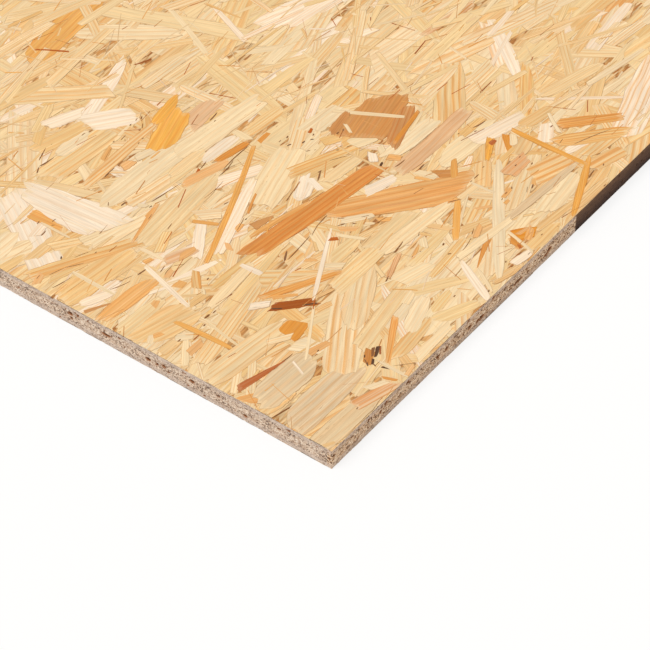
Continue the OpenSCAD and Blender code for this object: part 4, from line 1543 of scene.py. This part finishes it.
def seen_directly(tree):
    """1 for rays from the camera, off gloss or through glass, and 0 for the rest."""
    path = add(tree, "ShaderNodeLightPath").outputs
    seen = add(tree, "ShaderNodeMath", {0: path["Is Camera Ray"], 1: path["Is Glossy Ray"]},
               operation="MAXIMUM")
    return add(tree, "ShaderNodeMath", {0: seen, 1: path["Is Transmission Ray"]}, operation="MAXIMUM")


world = bpy.data.worlds.new("white_studio")
world.use_nodes = True
sky_tree = world.node_tree
sky_tree.nodes.clear()
sky_seen = seen_directly(sky_tree)
sky_level = add(sky_tree, "ShaderNodeMapRange", {0: sky_seen, 3: SKY_STRENGTH, 4: 1.0})
sky_colour = add(sky_tree, "ShaderNodeMix", {0: sky_seen, 6: SKY_COLOUR, 7: WHITE},
                 data_type="RGBA").outputs[2]
sky = add(sky_tree, "ShaderNodeBackground", {"Color": sky_colour, "Strength": sky_level})
add(sky_tree, "ShaderNodeOutputWorld", {0: sky})
bpy.context.scene.world = world
print(f"{world.name}: {len(sky_tree.nodes)} nodes")

# %% [markdown]
# The floor is a wide sheet of white paper. To the camera most of its white is its own glow, and the rest is
# light that falls on it, so the board keeps a faint shadow.

# %% Floor
FLOOR_HALF = 40.0
FLOOR_DROP = 0.1 * MM
FLOOR_GLOW_SHARE = 0.8
paper = bare_material("white_paper")
paper_tree = paper.node_tree
paper_matt = add(paper_tree, "ShaderNodeBsdfDiffuse", {"Color": WHITE})
paper_glow = add(paper_tree, "ShaderNodeEmission", {"Color": WHITE, "Strength": 1.0})
paper_share = add(paper_tree, "ShaderNodeMath", {0: seen_directly(paper_tree), 1: FLOOR_GLOW_SHARE},
                  operation="MULTIPLY")
paper_both = add(paper_tree, "ShaderNodeMixShader", {0: paper_share, 1: paper_matt, 2: paper_glow})
add(paper_tree, "ShaderNodeOutputMaterial", {0: paper_both})

floor_corners = [
    (x * FLOOR_HALF, y * FLOOR_HALF, -FLOOR_DROP) for x, y in ((-1, -1), (1, -1), (1, 1), (-1, 1))
]
floor_mesh = bpy.data.meshes.new("floor")
floor_mesh.from_pydata(floor_corners, [], [(0, 1, 2, 3)])
floor_mesh.materials.append(paper)
floor = bpy.data.objects.new("floor", floor_mesh)
bpy.context.collection.objects.link(floor)
print(f"{floor.name}: {2 * FLOOR_HALF:.0f} m wide")

# %% [markdown]
# One large soft lamp stands on the left. Sky and lamp together give a level at which a colour renders about
# as it is written, with the plain view transform.

# %% Lamp
LAMP_STRENGTH = 1.7
LAMP_ANGLE = math.radians(35)
LAMP_TURN = (math.radians(-11), math.radians(-27), 0.0)
lamp = bpy.data.objects.new("soft_lamp", bpy.data.lights.new("soft_lamp", "SUN"))
lamp.data.energy = LAMP_STRENGTH
lamp.data.angle = LAMP_ANGLE
lamp.rotation_euler = LAMP_TURN
bpy.context.collection.objects.link(lamp)
bpy.context.scene.view_settings.view_transform = "Standard"
print(f"{lamp.name}: strength {lamp.data.energy:.1f}")

# %% [markdown]
# Nothing on the sheet moves, so every piece rides on its one body. The core takes the place of the CAD
# solid, and the lanes and the rim are added to it.

# %% Riding
for piece in (*upper_lanes, *under_lanes, rim, core):
    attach(piece, "root")
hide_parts("osb_panel")
print(f"{len(upper_lanes) + len(under_lanes) + 2} pieces ride on the sheet")
